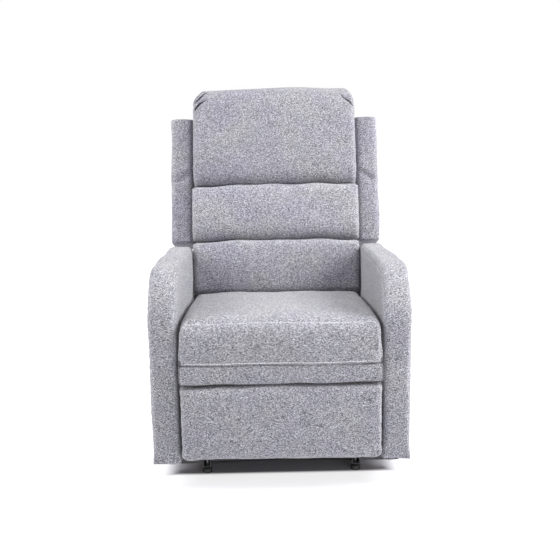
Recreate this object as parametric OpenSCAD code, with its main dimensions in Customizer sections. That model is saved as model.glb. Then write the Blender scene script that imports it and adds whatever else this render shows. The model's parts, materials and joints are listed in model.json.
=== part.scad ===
// Recliner armchair: a steel base on four glide feet carries two upholstered arms.
// The seat rides forward on four swing links as the back reclines, and a parallelogram
// linkage on each side swings the footrest out. The chair faces -Y, and Z is up.

/* [Overall] */
// Depth from the seat's front to the back's rearmost point, when upright
depth = 900; // [880:1:920]
// Clear width between the two arms
seat_w = 542; // [530:1:560]
// Thickness of each arm
arm_t = 79; // [72:1:90]
// Height of the highest point of the arms
arm_top = 597; // [585:1:600]
// Height of the arms' bottom edge above the floor
arm_bottom = 72; // [66:1:72]
// Height of the front edge of the seat cushion
seat_top = 462; // [455:1:470]

/* [Back] */
// Lean of the back from vertical when upright
back_lean = 17.7; // [16:0.1:18.5]
// Height of the back along its own slope, from the lowest cushion edge up
back_len = 703; // [680:1:704]
// How far the cushions stand forward of the wings
back_crown = 54; // [45:1:56]

/* [Footrest linkage] */
// Length of the front crank between its seat pivot and the lower coupler
crank_r = 275; // [268:1:276]
// Angle of the cranks when closed, from straight ahead and upwards
crank_rest = 248; // [247:0.5:249]
// Distance between the two couplers, measured along the crank
coupler_gap = 60; // [56:1:64]

/* [Swing links] */
// Length of the links that carry the seat
swing_r = 170; // [165:1:172]

/* [Hidden] */
$fn = 48;

// Colours
fabric_grey = [0.62, 0.62, 0.65];
fabric_dark = [0.50, 0.50, 0.53];
foam_white = [0.90, 0.87, 0.78];
wood_pale = [0.80, 0.66, 0.46];
steel_black = [0.10, 0.10, 0.11];
zinc = [0.72, 0.73, 0.74];
plastic_black = [0.07, 0.07, 0.08];
webbing_black = [0.16, 0.16, 0.17];

// Places across the chair, from the middle outwards
half_in = seat_w / 2;
half_out = half_in + arm_t;
play = 1.5;                          // gap beside each flat bar
bar_t = 4;                           // thickness of links, cranks and brackets
rail_wood_t = 20;
rail_x = half_in - 71;               // inner face of a base rail
rail_w = 21;
riser_x = rail_x + rail_w;           // inner face of a riser plate
swing_x = riser_x + bar_t + play;    // inner face of a swing link
side_rail_x = half_in - 25;          // inner face of the seat's wooden side rail
plate_t = 3;
plate_x = side_rail_x - plate_t;     // inner face of a seat plate
crank_x = plate_x - play - bar_t;
coupler_x = crank_x - play - bar_t;
bracket_x = coupler_x - play - bar_t;
foot_x = rail_x + rail_w / 2;
cushion_x = half_in - 2;             // half width of the seat and back cushions

// Places along and up the chair, as [y, z]
arm_front = -430;
arm_rear = 175;
seat_front = -depth / 2;
rail_z = 24;
rail_h = 25;
outrigger_w = 20;
outrigger_z = rail_z + 6;
front_foot_y = -313;
rear_foot_y = 140;
frame_top = 362;                     // top of the seat's wooden rails
wire = 4;                            // thickness of the seat springs' wire
clip_h = 6;
cover_t = 6;                         // thickness of the seat's and footrest's covers

// Footrest linkage pivots in side view: forward is -y, and angles are from forward, upwards
function ahead(p, len, a) = [p.x - len * cos(a), p.y + len * sin(a)];
front_pivot = [-250, 340];
lower_pin = ahead(front_pivot, crank_r, crank_rest);
upper_pin = ahead(front_pivot, crank_r - coupler_gap, crank_rest);
foot_low = [-350, 205];
foot_high = ahead(foot_low, -coupler_gap, crank_rest);
along_coupler = (lower_pin - foot_low) / norm(lower_pin - foot_low);
rear_pivot = front_pivot + 80 * along_coupler;
rear_pin = ahead(rear_pivot, crank_r - coupler_gap, crank_rest);
tube_at = ahead(front_pivot, 100, crank_rest);
spring_stud = ahead(front_pivot, 60, crank_rest);
spring_hook = [-370, 346];

// Swing links: base pivots, and how far the links lean back when the back is upright
swing_lean = 13.6;
swing_z = 70;
front_swing = [-60, swing_z];
rear_swing = [80, swing_z];
function swing_top(p) = p + swing_r * [sin(swing_lean), cos(swing_lean)];

// The back leans about this point of the wings' front plane, and turns about back_pivot
back_foot = [116.4, 420];
back_pivot = [150, 378];
panel_top = 655;
panel_bottom = -40;
back_t = (depth / 2 - back_foot.x - panel_top * sin(back_lean)) / cos(back_lean);
panel_t = 10;
wing_out = 343;
wing_in = 275;
wing_low = 172;
wing_high = 590;
seam_low = 173;                      // seam between the lower and the lumbar cushion
seam_high = 357;                     // seam between the lumbar cushion and the headrest
post_x = crank_x - 28;               // inner face of a back post
post_t = 45;
post_from = 14;                      // depth of the posts' front behind the wings' front plane

pin_d = 10;
head_d = 16;
head_t = 1.3;
bolt_d = 6;
fit = 0.08;                          // radial clearance of every pin in its hole

// ---------- shared shapes ----------

function unit(v) = v / norm(v);
// One corner p between a and b, rounded to radius r
function corner(a, p, b, r, n = 5) =
  let (u = unit(a - p), v = unit(b - p), half = acos(u * v) / 2,
       c = p + unit(u + v) * r / sin(half), s = p + u * r / tan(half), e = p + v * r / tan(half),
       from = atan2(s.y - c.y, s.x - c.x), to = atan2(e.y - c.y, e.x - c.x),
       turn = (to - from + 540) % 360 - 180)
  [for (i = [0:n]) let (t = from + turn * i / n) c + r * [cos(t), sin(t)]];
// An outline whose points are [x, y, corner radius]
function rounded(pts) = let (n = len(pts))
  [for (i = [0:n - 1])
    let (p = [pts[i].x, pts[i].y], a = pts[(i + n - 1) % n], b = pts[(i + 1) % n])
    each (pts[i].z > 0 ? corner([a.x, a.y], p, [b.x, b.y], pts[i].z) : [p])];

// Side view to space: 2D x is Y and 2D y is Z, from x0 across by t
module side(x0, t) translate([x0, 0, 0]) rotate([90, 0, 90]) linear_extrude(t) children();
module both() {
  children();
  mirror([1, 0, 0]) children();
}
module bore(p, d) translate(p) circle(d = d + 2 * fit);
// A flat bar with an eye at each end
module bar(a, b, w = 18, eye = 22) {
  for (p = [a, b]) translate(p) circle(d = eye);
  translate(a) rotate(atan2(b.y - a.y, b.x - a.x)) translate([0, -w / 2]) square([norm(b - a), w]);
}
// A stack of coaxial discs along X: each is [start, end, diameter]
module stack(p, discs)
  for (d = discs) translate([d[0], p.x, p.y]) rotate([0, 90, 0]) cylinder(h = d[1] - d[0], d = d[2]);
module hex_bolt(d, len) {
  cylinder(h = len, d = d);
  translate([0, 0, -0.6 * d]) cylinder(h = 0.6 * d, d = 1.9 * d, $fn = 6);
}
module in_back() translate([0, back_foot.x, back_foot.y]) rotate([-back_lean, 0, 0]) children();
// In the back's own side view, 2D x is the depth behind the wings' front and 2D y is up the slope
module back_side(x0, t) in_back() side(x0, t) children();

// A tube of radius r swept along a list of points
function turn_frame(t) = let (h = abs(t.z) > 0.9 ? [1, 0, 0] : [0, 0, 1], s = unit(cross(h, t)))
  [s, cross(t, s)];
module swept(path, r, sides = 8) {
  n = len(path);
  rings = [for (i = [0:n - 1])
    let (t = unit(path[min(i + 1, n - 1)] - path[max(i - 1, 0)]), f = turn_frame(t))
    for (k = [0:sides - 1]) let (a = 360 * k / sides) path[i] + r * (cos(a) * f[0] + sin(a) * f[1])];
  skin = [for (i = [0:n - 2]) for (k = [0:sides - 1])
    let (a = i * sides + k, b = i * sides + (k + 1) % sides) [a, a + sides, b + sides, b]];
  polyhedron(rings, concat([[for (k = [0:sides - 1]) k]], skin,
    [[for (k = [sides - 1:-1:0]) (n - 1) * sides + k]]), convexity = 6);
}
// A smooth curve through a short list of route points
function smooth(p, n = 5) = [for (i = [0:len(p) - 2])
  let (a = p[max(i - 1, 0)], b = p[i], c = p[i + 1], d = p[min(i + 2, len(p) - 1)])
  for (k = [0:n - (i == len(p) - 2 ? 0 : 1)]) let (t = k / n)
    0.5 * (2 * b + (c - a) * t + (2 * a - 5 * b + 4 * c - d) * t * t
      + (3 * b - a - 3 * c + d) * t * t * t)];

// ---------- base ----------

// A square or flat tube along Y or X, given its low corner and size
module box_tube(at, size, along, wall = 2) {
  inner = [for (k = [0:2]) k == along ? size[k] + 2 : size[k] - 2 * wall];
  shift = [for (k = [0:2]) k == along ? -1 : wall];
  translate(at) difference() {
    cube(size);
    translate(shift) cube(inner);
  }
}
module base_rails() color(steel_black) both() difference() {
  box_tube([rail_x, front_foot_y - 22, rail_z], [rail_w, rear_foot_y - front_foot_y + 44, rail_h], 1);
  for (y = [front_foot_y, rear_foot_y])
    translate([foot_x, y, rail_z - 1]) cylinder(h = 4, d = 8 + 2 * fit);
}
module swing_brackets() color(steel_black) both() side(riser_x, bar_t) difference() {
  polygon(rounded([[front_swing.x - 30, rail_z, 3], [rear_swing.x + 30, rail_z, 3],
    [rear_swing.x + 18, swing_z + 16, 12], [rear_swing.x - 18, swing_z + 16, 12],
    [rear_swing.x - 40, rail_z + rail_h + 2, 8], [front_swing.x + 40, rail_z + rail_h + 2, 8],
    [front_swing.x + 18, swing_z + 16, 12], [front_swing.x - 18, swing_z + 16, 12]]));
  bore(front_swing, pin_d);
  bore(rear_swing, pin_d);
}
// The front tube is welded low on the rails, and bows up towards its middle
module front_cross_tube() {
  rise = 6;
  end_z = rail_z + 2;
  bow = (rail_x * rail_x + rise * rise) / (2 * rise);
  color(steel_black) intersection() {
    translate([0, front_foot_y + 24, end_z + rise - bow]) rotate([90, 0, 0]) rotate([0, 0, 80])
      rotate_extrude(angle = 20, $fn = 96) translate([bow, 0]) circle(d = 20);
    translate([-rail_x, -500, 0]) cube([2 * rail_x, 500, 100]);
  }
}
module outriggers() color(steel_black) both()
  for (y = [front_foot_y, rear_foot_y]) difference() {
    box_tube([riser_x, y - outrigger_w / 2, outrigger_z],
      [half_out - 18 - riser_x, outrigger_w, outrigger_w], 0);
    translate([half_in + arm_t / 2, y, outrigger_z - 1]) cylinder(h = outrigger_w + 2, d = 8 + 2 * fit);
  }
module glide_feet() color(plastic_black) both()
  for (y = [front_foot_y, rear_foot_y]) translate([foot_x, y, 0]) difference() {
    rotate_extrude() polygon(rounded([[0, 0, 0], [13.5, 0, 1.5], [13.5, 12, 3], [8, 17, 1], [0, 17, 0]]));
    translate([0, 0, 10]) cylinder(h = 10, d = 8 + 2 * fit);
  }
module glide_studs() color(zinc) both()
  for (y = [front_foot_y, rear_foot_y]) translate([foot_x, y, 10]) {
    cylinder(h = 30, d = 8);
    translate([0, 0, 7.5]) cylinder(h = rail_z - 17.5, d = 14, $fn = 6);
  }
module swing_base_rivets() color(zinc) both() for (p = [front_swing, rear_swing])
  stack(p, [[riser_x - head_t, riser_x, head_d], [riser_x, swing_x + bar_t, pin_d],
    [riser_x + bar_t, swing_x, head_d], [swing_x + bar_t, swing_x + bar_t + head_t, head_d]]);

// ---------- arms ----------

arm_panel_t = 12;
band_t = 21;
frame_bar = 45;
function arm_outline(in, low) = rounded([[arm_front + in, low, 14], [arm_rear - in, low, 10],
  [arm_rear - in, arm_top - 22 - in, 22], [-200, arm_top - in, 600],
  [arm_front + in, arm_top - in, 140 - in]]);
module arm_panel(x0) side(x0, arm_panel_t) polygon(arm_outline(0, arm_bottom));
module arm_band() color(fabric_grey) side(half_in + arm_panel_t, arm_t - 2 * arm_panel_t) difference() {
  polygon(arm_outline(0, arm_bottom));
  polygon(arm_outline(band_t, arm_bottom - 60));
}
// A plywood frame inside the arm
module arm_frame() color(wood_pale) difference() {
  side(half_in + arm_panel_t + 0.5, arm_t - 2 * arm_panel_t - 1) difference() {
    intersection() {
      polygon(arm_outline(band_t + 0.5, arm_bottom - 60));
      translate([arm_front, arm_bottom]) square([arm_rear - arm_front, arm_top]);
    }
    for (bay = [[-364, -215], [-165, 109]]) translate([bay[0], arm_bottom + frame_bar])
      square([bay[1] - bay[0], 370]);
  }
  arm_bolt_holes();
}
// Spacers between the arm and the outriggers
spacer_w = 34;
module arm_spacers() color(plastic_black) both() difference() {
  for (y = [front_foot_y, rear_foot_y])
    translate([half_in + (arm_t - spacer_w) / 2, y - spacer_w / 2, outrigger_z + outrigger_w])
      cube([spacer_w, spacer_w, arm_bottom - outrigger_z - outrigger_w]);
  arm_bolt_holes();
}
module arm_bolt_holes() for (y = [front_foot_y, rear_foot_y])
  translate([half_in + arm_t / 2, y, outrigger_z]) cylinder(h = 62, d = 8 + 2 * fit);
module arm_bolts() color(zinc) both() for (y = [front_foot_y, rear_foot_y])
  translate([half_in + arm_t / 2, y, outrigger_z]) hex_bolt(8, 60);

// The release cup sits in the outer side of the sitter's right arm
cup_y = [-150, -64];
cup_z = [408, 464];
cup_depth = 32;
cup_wall = 2.5;
flange_grow = 9;
flange_t = 3;
module cup_block(x, grow, depth)
  translate([x, cup_y[0] - grow, cup_z[0] - grow])
    cube([depth, cup_y[1] - cup_y[0] + 2 * grow, cup_z[1] - cup_z[0] + 2 * grow]);
module arm_inner_panel_left() color(fabric_grey) arm_panel(half_in);
module arm_outer_panel_left() color(fabric_grey) arm_panel(half_out - arm_panel_t);
module arm_band_left() arm_band();
module arm_frame_left() arm_frame();
module arm_inner_panel_right() color(fabric_grey) mirror([1, 0, 0]) difference() {
  arm_panel(half_in);
  translate([half_in - 1, cable_hole.x, cable_hole.y]) rotate([0, 90, 0]) cylinder(h = 20, d = 16);
}
module arm_outer_panel_right() color(fabric_grey) difference() {
  mirror([1, 0, 0]) arm_panel(half_out - arm_panel_t);
  cup_block(-half_out - 1, 0, arm_panel_t + 2);
  cup_block(-half_out - 1, flange_grow + 0.2, flange_t + 1.2);
}
module arm_band_right() mirror([1, 0, 0]) arm_band();
module arm_frame_right() mirror([1, 0, 0]) arm_frame();

// ---------- rear skirt ----------

// The skirt closes the gap between the arms, and the board behind it stays below the seat plates
skirt_top = 286;
board_top = 240;
module rear_board() color(wood_pale) translate([-half_in, arm_rear - 25, arm_bottom + 10])
  cube([2 * half_in, 12, board_top - arm_bottom - 10]);
module rear_skirt() color(fabric_grey) translate([-half_in, arm_rear - 13, arm_bottom + 4])
  cube([2 * half_in, 9, skirt_top - arm_bottom - 4]);

// ---------- footrest release ----------

paddle_pin = [-half_out + 7, 452];           // [x, z] of the paddle's pin
cable_hole = [0, 150];                       // [y, z] where the cable leaves the arm
catch_y = [-10, 34];
catch_h = 17;
module release_bezel() color(plastic_black) difference() {
  union() {
    cup_block(-half_out, -0.2, cup_depth);
    cup_block(-half_out, flange_grow, flange_t);
  }
  cup_block(-half_out - 1, -0.2 - cup_wall, cup_depth + 1 - cup_wall);
  translate([paddle_pin.x, cup_y[0] - 1, paddle_pin.y]) rotate([-90, 0, 0])
    cylinder(h = cup_y[1] - cup_y[0] + 2, d = 4 + 2 * fit);
  translate([-half_out + cup_depth - 6, -107, cup_z[0] + 12]) rotate([0, 90, 0]) cylinder(h = 9, d = 7);
}
module release_pin() color(zinc) translate([paddle_pin.x, cup_y[0] + 0.6, paddle_pin.y])
  rotate([-90, 0, 0]) cylinder(h = cup_y[1] - cup_y[0] - 1.2, d = 4);
module release_paddle() color(plastic_black) difference() {
  union() {
    translate([paddle_pin.x - 2, cup_y[0] + 5, cup_z[0] + 16])
      cube([4, cup_y[1] - cup_y[0] - 10, paddle_pin.y - cup_z[0] - 16]);
    translate([paddle_pin.x, cup_y[0] + 5, paddle_pin.y]) rotate([-90, 0, 0])
      cylinder(h = cup_y[1] - cup_y[0] - 10, d = 9);
  }
  translate([paddle_pin.x, cup_y[0], paddle_pin.y]) rotate([-90, 0, 0])
    cylinder(h = cup_y[1] - cup_y[0], d = 4 + 2 * fit);
}
cable_route = [[-half_out + cup_depth, -107, cup_z[0] + 12], [-306, -104, 406], [-302, -80, 330],
  [-302, -40, 240], [-298, -8, 175], [-284, 0, 151], [-264, 2, 142], [-246, 6, 116], [-232, 10, 84],
  [-rail_x - 10, 12, rail_z + rail_h + catch_h + 3]];
module release_cable() color(plastic_black) swept(smooth(cable_route, 3), 2.5);
module release_catch() color(zinc) difference() {
  translate([-rail_x - 17, catch_y[0], rail_z + rail_h]) cube([14, catch_y[1] - catch_y[0], catch_h]);
  translate([-rail_x - 15, catch_y[1] - 12, rail_z + rail_h + 6]) cube([10, 20, catch_h]);
}

// ---------- swing links ----------

module swing_link(p) color(steel_black) both() side(swing_x, bar_t) difference() {
  bar(p, swing_top(p), 22, 28);
  bore(p, pin_d);
  bore(swing_top(p), pin_d);
}
module front_swing_links() swing_link(front_swing);
module rear_swing_links() swing_link(rear_swing);

// ---------- seat ----------

seat_rear = 88;
rail_front = seat_front + 20;
rail_rear = seat_rear - 10;
wood_t = 25;                                 // thickness of the seat's front and rear rails
rail_low = 302;
front_top = swing_top(front_swing);
rear_top = swing_top(rear_swing);
seat_bolt_y = [-390, -320, -100, 30];
module seat_plates() color(steel_black) both() side(plate_x, plate_t) difference() {
  polygon(rounded([[rail_front + wood_t, frame_top - 4, 4], [rail_front + wood_t, 322, 10],
    [front_pivot.x - 30, 322, 20], [rear_pivot.x - 18, rear_pivot.y - 20, 14],
    [rear_pivot.x + 22, rear_pivot.y - 20, 14], [front_top.x - 26, front_top.y - 20, 16],
    [rear_top.x + 22, rear_top.y - 20, 18], [rear_top.x + 22, 300, 30],
    [back_pivot.x + 20, back_pivot.y - 25, 14], [back_pivot.x + 20, back_pivot.y + 20, 18],
    [back_pivot.x - 20, back_pivot.y + 20, 18], [back_pivot.x - 30, frame_top - 4, 14]]));
  for (p = [front_pivot, rear_pivot, front_top, rear_top, back_pivot]) bore(p, pin_d);
  bore(spring_hook, 8);
  for (y = seat_bolt_y) bore([y, frame_top - 14], bolt_d);
}
module seat_side_rails() color(wood_pale) both() difference() {
  translate([side_rail_x, rail_front + wood_t, rail_low])
    cube([rail_wood_t, rail_rear - rail_front - wood_t, frame_top - rail_low]);
  for (p = [front_pivot, rear_pivot]) stack(p, [[side_rail_x - 1, side_rail_x + 3, head_d + 4]]);
  stack(spring_hook, [[side_rail_x - 1, side_rail_x + 3, head_d]]);
  for (y = seat_bolt_y) stack([y, frame_top - 14], [[side_rail_x - 1, half_in, bolt_d + 2 * fit]]);
}
module seat_cross_rails() color(wood_pale)
  for (rail = [[rail_front, side_rail_x + rail_wood_t], [rail_rear - wood_t, plate_x]])
    translate([-rail[1], rail[0], rail_low]) cube([2 * rail[1], wood_t, frame_top - rail_low]);

// Five zigzag springs from the front rail to the rear rail
spring_pitch = 96;
spring_amp = 20;
spring_ends = [rail_front + 12, rail_rear - 12];
function ribbon(path, w) = let (n = len(path),
  nrm = [for (i = [0:n - 1]) let (t = unit(path[min(i + 1, n - 1)] - path[max(i - 1, 0)])) [-t.y, t.x]])
  concat([for (i = [0:n - 1]) path[i] + nrm[i] * w / 2], [for (i = [n - 1:-1:0]) path[i] - nrm[i] * w / 2]);
function zigzag(waves, n = 10) = [for (i = [0:waves * n]) let (t = i / (waves * n))
  [spring_amp * sin(360 * waves * t) * min(1, 12 * t, 12 * (1 - t)),
   spring_ends[0] + (spring_ends[1] - spring_ends[0]) * t]];
module seat_springs() color(zinc) for (k = [-2:2]) translate([k * spring_pitch, 0, frame_top])
  linear_extrude(wire) polygon(ribbon(zigzag(11), wire));
module spring_clips() color(plastic_black) for (k = [-2:2]) for (y = spring_ends)
  translate([k * spring_pitch, y, frame_top]) difference() {
    translate([-11, y < 0 ? -9 : -3, 0]) cube([22, 12, clip_h]);
    translate([-spring_amp / 2 + 2, -20, -1]) cube([spring_amp - 4, 40, wire + 1.4]);
  }

// The seat cushion falls slightly to the rear and rolls over its front edge
seat_low = frame_top + clip_h + 1;
function seat_outline(in) = rounded([[seat_front + 4 + in, seat_low + in, 10],
  [seat_rear - 4 - in, seat_low + in, 8], [seat_rear - in, seat_top - 40 - in, 14],
  [-250, seat_top - 4 - in, 700], [seat_front + 4 + in, seat_top - in, 34 - in],
  [seat_front + in, seat_top - 60, 60]]);
module seat_foam() color(foam_white) side(-cushion_x + cover_t + 0.5, 2 * (cushion_x - cover_t - 0.5))
  polygon(seat_outline(cover_t + 0.5));
module seat_cover() color(fabric_grey) difference() {
  side(-cushion_x, 2 * cushion_x) polygon(seat_outline(0));
  side(-cushion_x + cover_t, 2 * (cushion_x - cover_t)) polygon(seat_outline(cover_t));
}
module seat_front_panel() color(fabric_grey) side(-cushion_x, 2 * cushion_x)
  polygon(rounded([[rail_front, rail_low - 2, 2], [rail_front, seat_low - 0.6, 2],
    [seat_front + 2, seat_low - 0.6, 5], [seat_front + 3, rail_low - 2, 6]]));
module seat_rivets() color(zinc) both() {
  for (p = [front_top, rear_top]) stack(p, [[swing_x - head_t, swing_x, head_d],
    [swing_x, side_rail_x, pin_d], [swing_x + bar_t, plate_x, head_d],
    [side_rail_x, side_rail_x + head_t, head_d]]);
  for (p = [front_pivot, rear_pivot, back_pivot]) stack(p, [[crank_x - head_t, crank_x, head_d],
    [crank_x, side_rail_x, pin_d], [crank_x + bar_t, plate_x, head_d],
    [side_rail_x, side_rail_x + head_t, head_d]]);
  stack(spring_hook, [[plate_x - 34, side_rail_x, 8], [side_rail_x, side_rail_x + head_t, 12],
    [plate_x - 36, plate_x - 34, 12]]);
}
module seat_bolts() color(zinc) both() for (y = seat_bolt_y) stack([y, frame_top - 14],
  [[plate_x, side_rail_x + rail_wood_t, bolt_d],
   [side_rail_x + rail_wood_t, side_rail_x + rail_wood_t + 3, 15]]);

// Each assist spring pulls its crank towards the hook at the front of the seat plate
coil_d = 15;
coil_wire = 2.5;
spring_x = plate_x - 27;                     // the coil's middle plane
module assist_springs() {
  reach = norm(spring_hook - spring_stud);
  turns = 14;
  body = reach - 34;
  pitch = body / turns;
  coils = [for (k = [0:turns - 1]) each [[coil_d / 2 - 1, (k + 0.1) * pitch],
    [coil_d / 2, (k + 0.35) * pitch], [coil_d / 2, (k + 0.65) * pitch],
    [coil_d / 2 - 1, (k + 0.9) * pitch]]];
  tilt = atan2(spring_hook.y - spring_stud.y, spring_hook.x - spring_stud.x);
  color(zinc) both() translate([spring_x, spring_stud.x, spring_stud.y]) rotate([tilt, 0, 0]) {
    translate([0, (reach - body) / 2, 0]) rotate([-90, 0, 0]) rotate_extrude()
      polygon(concat([[coil_d / 2 - coil_wire, body], [coil_d / 2 - coil_wire, 0]], coils));
    for (e = [0, reach]) side(-coil_wire / 2, coil_wire) difference() {
      translate([e, 0]) union() {
        circle(d = 16);
        translate([e > 0 ? -18.5 : 6, -5]) square([12.5, 10]);
      }
      translate([e, 0]) circle(d = 8.8);
    }
  }
}

// ---------- footrest linkage ----------

module crank(p, pins, extra = []) side(crank_x, bar_t) difference() {
  bar(p, pins[0], 20, 24);
  bore(p, pin_d);
  for (q = pins) bore(q, pin_d);
  for (q = extra) bore(q, 8);
}
module front_cranks() color(steel_black) both() crank(front_pivot, [lower_pin, upper_pin], [spring_stud]);
module rear_cranks() color(steel_black) both() crank(rear_pivot, [rear_pin]);
module torque_tube() color(steel_black) translate([0, tube_at.x, tube_at.y]) rotate([crank_rest, 0, 0])
  box_tube([-crank_x, -9, -9], [2 * crank_x, 18, 18], 0);
module coupler_pin(p) stack(p, [[coupler_x - head_t, coupler_x, 14], [coupler_x, crank_x + bar_t, pin_d],
  [coupler_x + bar_t, crank_x, head_d], [crank_x + bar_t, crank_x + bar_t + head_t, 14]]);
module front_crank_rivets() color(zinc) both() {
  coupler_pin(lower_pin);
  coupler_pin(upper_pin);
  stack(spring_stud, [[spring_x - 5, crank_x + bar_t, 8], [spring_x - 7, spring_x - 5, 12],
    [crank_x + bar_t, crank_x + bar_t + head_t, 12]]);
}
module rear_crank_rivets() color(zinc) both() coupler_pin(rear_pin);
module lower_couplers() color(steel_black) both() side(coupler_x, bar_t) difference() {
  bar(lower_pin, foot_low);
  bore(lower_pin, pin_d);
  bore(foot_low, pin_d);
}
module upper_couplers() color(steel_black) both() side(coupler_x, bar_t) difference() {
  bar(rear_pin, foot_high);
  for (p = [rear_pin, upper_pin, foot_high]) bore(p, pin_d);
}

// ---------- footrest ----------

board_rear = -385;
board_t = 12;
foot_bottom = 84;
foot_top = 299;
foot_half = half_in - 2;
flange_w = 22;
flange_z = [140, 282];
bracket_bolt_z = [160, 262];
module footrest_brackets() color(steel_black) both() {
  side(bracket_x, bar_t) difference() {
    polygon(rounded([[foot_low.x + 14, foot_low.y - 12, 12], [foot_low.x + 10, foot_low.y + 16, 12],
      [foot_high.x + 14, foot_high.y + 2, 10], [foot_high.x + 8, foot_high.y + 14, 9],
      [board_rear, flange_z[1], 3], [board_rear, flange_z[0], 3]]));
    bore(foot_low, pin_d);
    bore(foot_high, pin_d);
  }
  difference() {
    translate([bracket_x - flange_w, board_rear, flange_z[0] + 4])
      cube([flange_w + 0.01, 4, flange_z[1] - flange_z[0] - 8]);
    for (z = bracket_bolt_z) translate([bracket_x - flange_w / 2, board_rear - 1, z]) rotate([-90, 0, 0])
      cylinder(h = 6, d = bolt_d + 2 * fit);
  }
}
module footrest_rivets() color(zinc) both() for (p = [foot_low, foot_high])
  stack(p, [[bracket_x - head_t, bracket_x, 14], [bracket_x, coupler_x + bar_t, pin_d],
    [bracket_x + bar_t, coupler_x, head_d], [coupler_x + bar_t, coupler_x + bar_t + head_t, 14]]);
module footrest_bolts() color(zinc) both() for (z = bracket_bolt_z)
  translate([bracket_x - flange_w / 2, board_rear + 4, z]) rotate([90, 0, 0]) hex_bolt(bolt_d, 4 + board_t);
// The footrest seen from the front, with rounded lower corners
module foot_face(in, y, t) translate([0, y + t, 0]) rotate([90, 0, 0]) linear_extrude(t)
  polygon(rounded([[-foot_half + in, foot_bottom + in, 30 - in],
    [foot_half - in, foot_bottom + in, 30 - in], [foot_half - in, foot_top - in, 12 - in],
    [-foot_half + in, foot_top - in, 12 - in]]));
module footrest_board() color(wood_pale) difference() {
  foot_face(cover_t + 0.5, board_rear - board_t, board_t);
  both() for (z = bracket_bolt_z) translate([bracket_x - flange_w / 2, board_rear + 1, z])
    rotate([90, 0, 0]) cylinder(h = board_t + 2, d = bolt_d + 2 * fit);
}
module footrest_foam() color(foam_white)
  foot_face(cover_t + 0.5, seat_front + cover_t + 0.5, board_rear - board_t - seat_front - cover_t - 0.5);
module footrest_cover() color(fabric_grey) difference() {
  foot_face(0, seat_front, board_rear - seat_front);
  foot_face(cover_t, seat_front + cover_t, board_rear - seat_front);
}

// ---------- back ----------

function to_back(p) = let (d = p - back_foot)
  [d.x * cos(back_lean) - d.y * sin(back_lean), d.x * sin(back_lean) + d.y * cos(back_lean)];
hinge = to_back(back_pivot);
post_low = hinge.y + 22;
post_high = panel_top - 5;
back_bolt_s = [25, 75, 130];
bracket_mid = post_from + post_t / 2;
module back_brackets() color(steel_black) both() back_side(crank_x, bar_t) difference() {
  polygon(rounded([[hinge.x - 15, hinge.y - 15, 14], [hinge.x + 15, hinge.y - 15, 14],
    [bracket_mid + 14, 40, 30], [bracket_mid + 14, 158, 8], [bracket_mid - 14, 158, 8],
    [bracket_mid - 14, 40, 30]]));
  bore(hinge, pin_d);
  for (s = back_bolt_s) bore([bracket_mid, s], bolt_d);
}
module back_bolts() color(zinc) both() in_back() for (s = back_bolt_s)
  stack([bracket_mid, s], [[post_x + 6, crank_x + bar_t, bolt_d],
    [crank_x + bar_t, crank_x + bar_t + 4, 11]]);
module back_frame() color(wood_pale) {
  both() back_side(post_x, crank_x - post_x) difference() {
    translate([post_from, post_low]) square([post_t, post_high - post_low]);
  }
  in_back() for (s = [post_low, 325, post_high - 45])
    translate([-post_x, post_from + 8, s]) cube([2 * post_x, 22, 45]);
}
module back_webbing() color(webbing_black) in_back() for (s = [70, 150, 240, 400, 480, 560])
  translate([-crank_x, post_from - 2, s]) cube([2 * crank_x, 2, 50]);
cushion_back = post_from - 4;
module back_cushion(half, from, to, crown) color(fabric_grey) back_side(-half, 2 * half)
  polygon(rounded([[cushion_back, from, 6], [-crown * 0.55, from, 20], [-crown, (from + to) / 2 - 30, 60],
    [-crown, (from + to) / 2 + 30, 60], [-crown * 0.55, to, 20], [cushion_back, to, 6]]));
module lower_back_cushion() back_cushion(half_in - 3, 0, seam_low - 1, back_crown);
module lumbar_cushion() back_cushion(half_in + 1, seam_low + 1, seam_high - 1, back_crown);
// The headrest rolls over the top of the frame
module headrest_cushion() color(fabric_grey) back_side(-half_in + 4, 2 * half_in - 8)
  polygon(rounded([[cushion_back, seam_high + 1, 6], [-back_crown * 0.55, seam_high + 1, 20],
    [-back_crown, seam_high + 50, 60], [-back_crown, back_len - 80, 70], [-back_crown * 0.4, back_len, 45],
    [back_t - 60, back_len, 60], [back_t - 3, panel_top + 1, 14], [cushion_back + 4, panel_top + 1, 3],
    [cushion_back, panel_top - 12, 4]]));
wing_rear = back_t - panel_t - 1;
module wing() color(fabric_grey) {
  back_side(wing_in, wing_out - wing_in) polygon(rounded([[0, wing_low, 12], [wing_rear, wing_low, 8],
    [wing_rear, wing_high, 20], [0, wing_high, 12]]));
  back_side(crank_x + 0.5, wing_in - crank_x - 0.5) translate([cushion_back + 1, wing_low])
    square([wing_rear - cushion_back - 1, wing_high - wing_low]);
}
module wing_left() wing();
module wing_right() mirror([1, 0, 0]) wing();
// The rear panel, with side walls where there is no wing
module back_rear_panel() color(fabric_dark) in_back() {
  low_half = half_in - 7;
  translate([-low_half, back_t - panel_t, panel_bottom])
    cube([2 * low_half, panel_t, panel_top - panel_bottom]);
  translate([-wing_out + 4, back_t - panel_t, wing_low])
    cube([2 * (wing_out - 4), panel_t, wing_high - wing_low]);
  for (span = [[panel_bottom, wing_low - 1, 80], [wing_high + 1, panel_top, cushion_back + 6]]) both()
    translate([low_half - 10, span[2], span[0]])
      cube([10, back_t - panel_t - span[2] + 0.01, span[1] - span[0]]);
}

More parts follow.
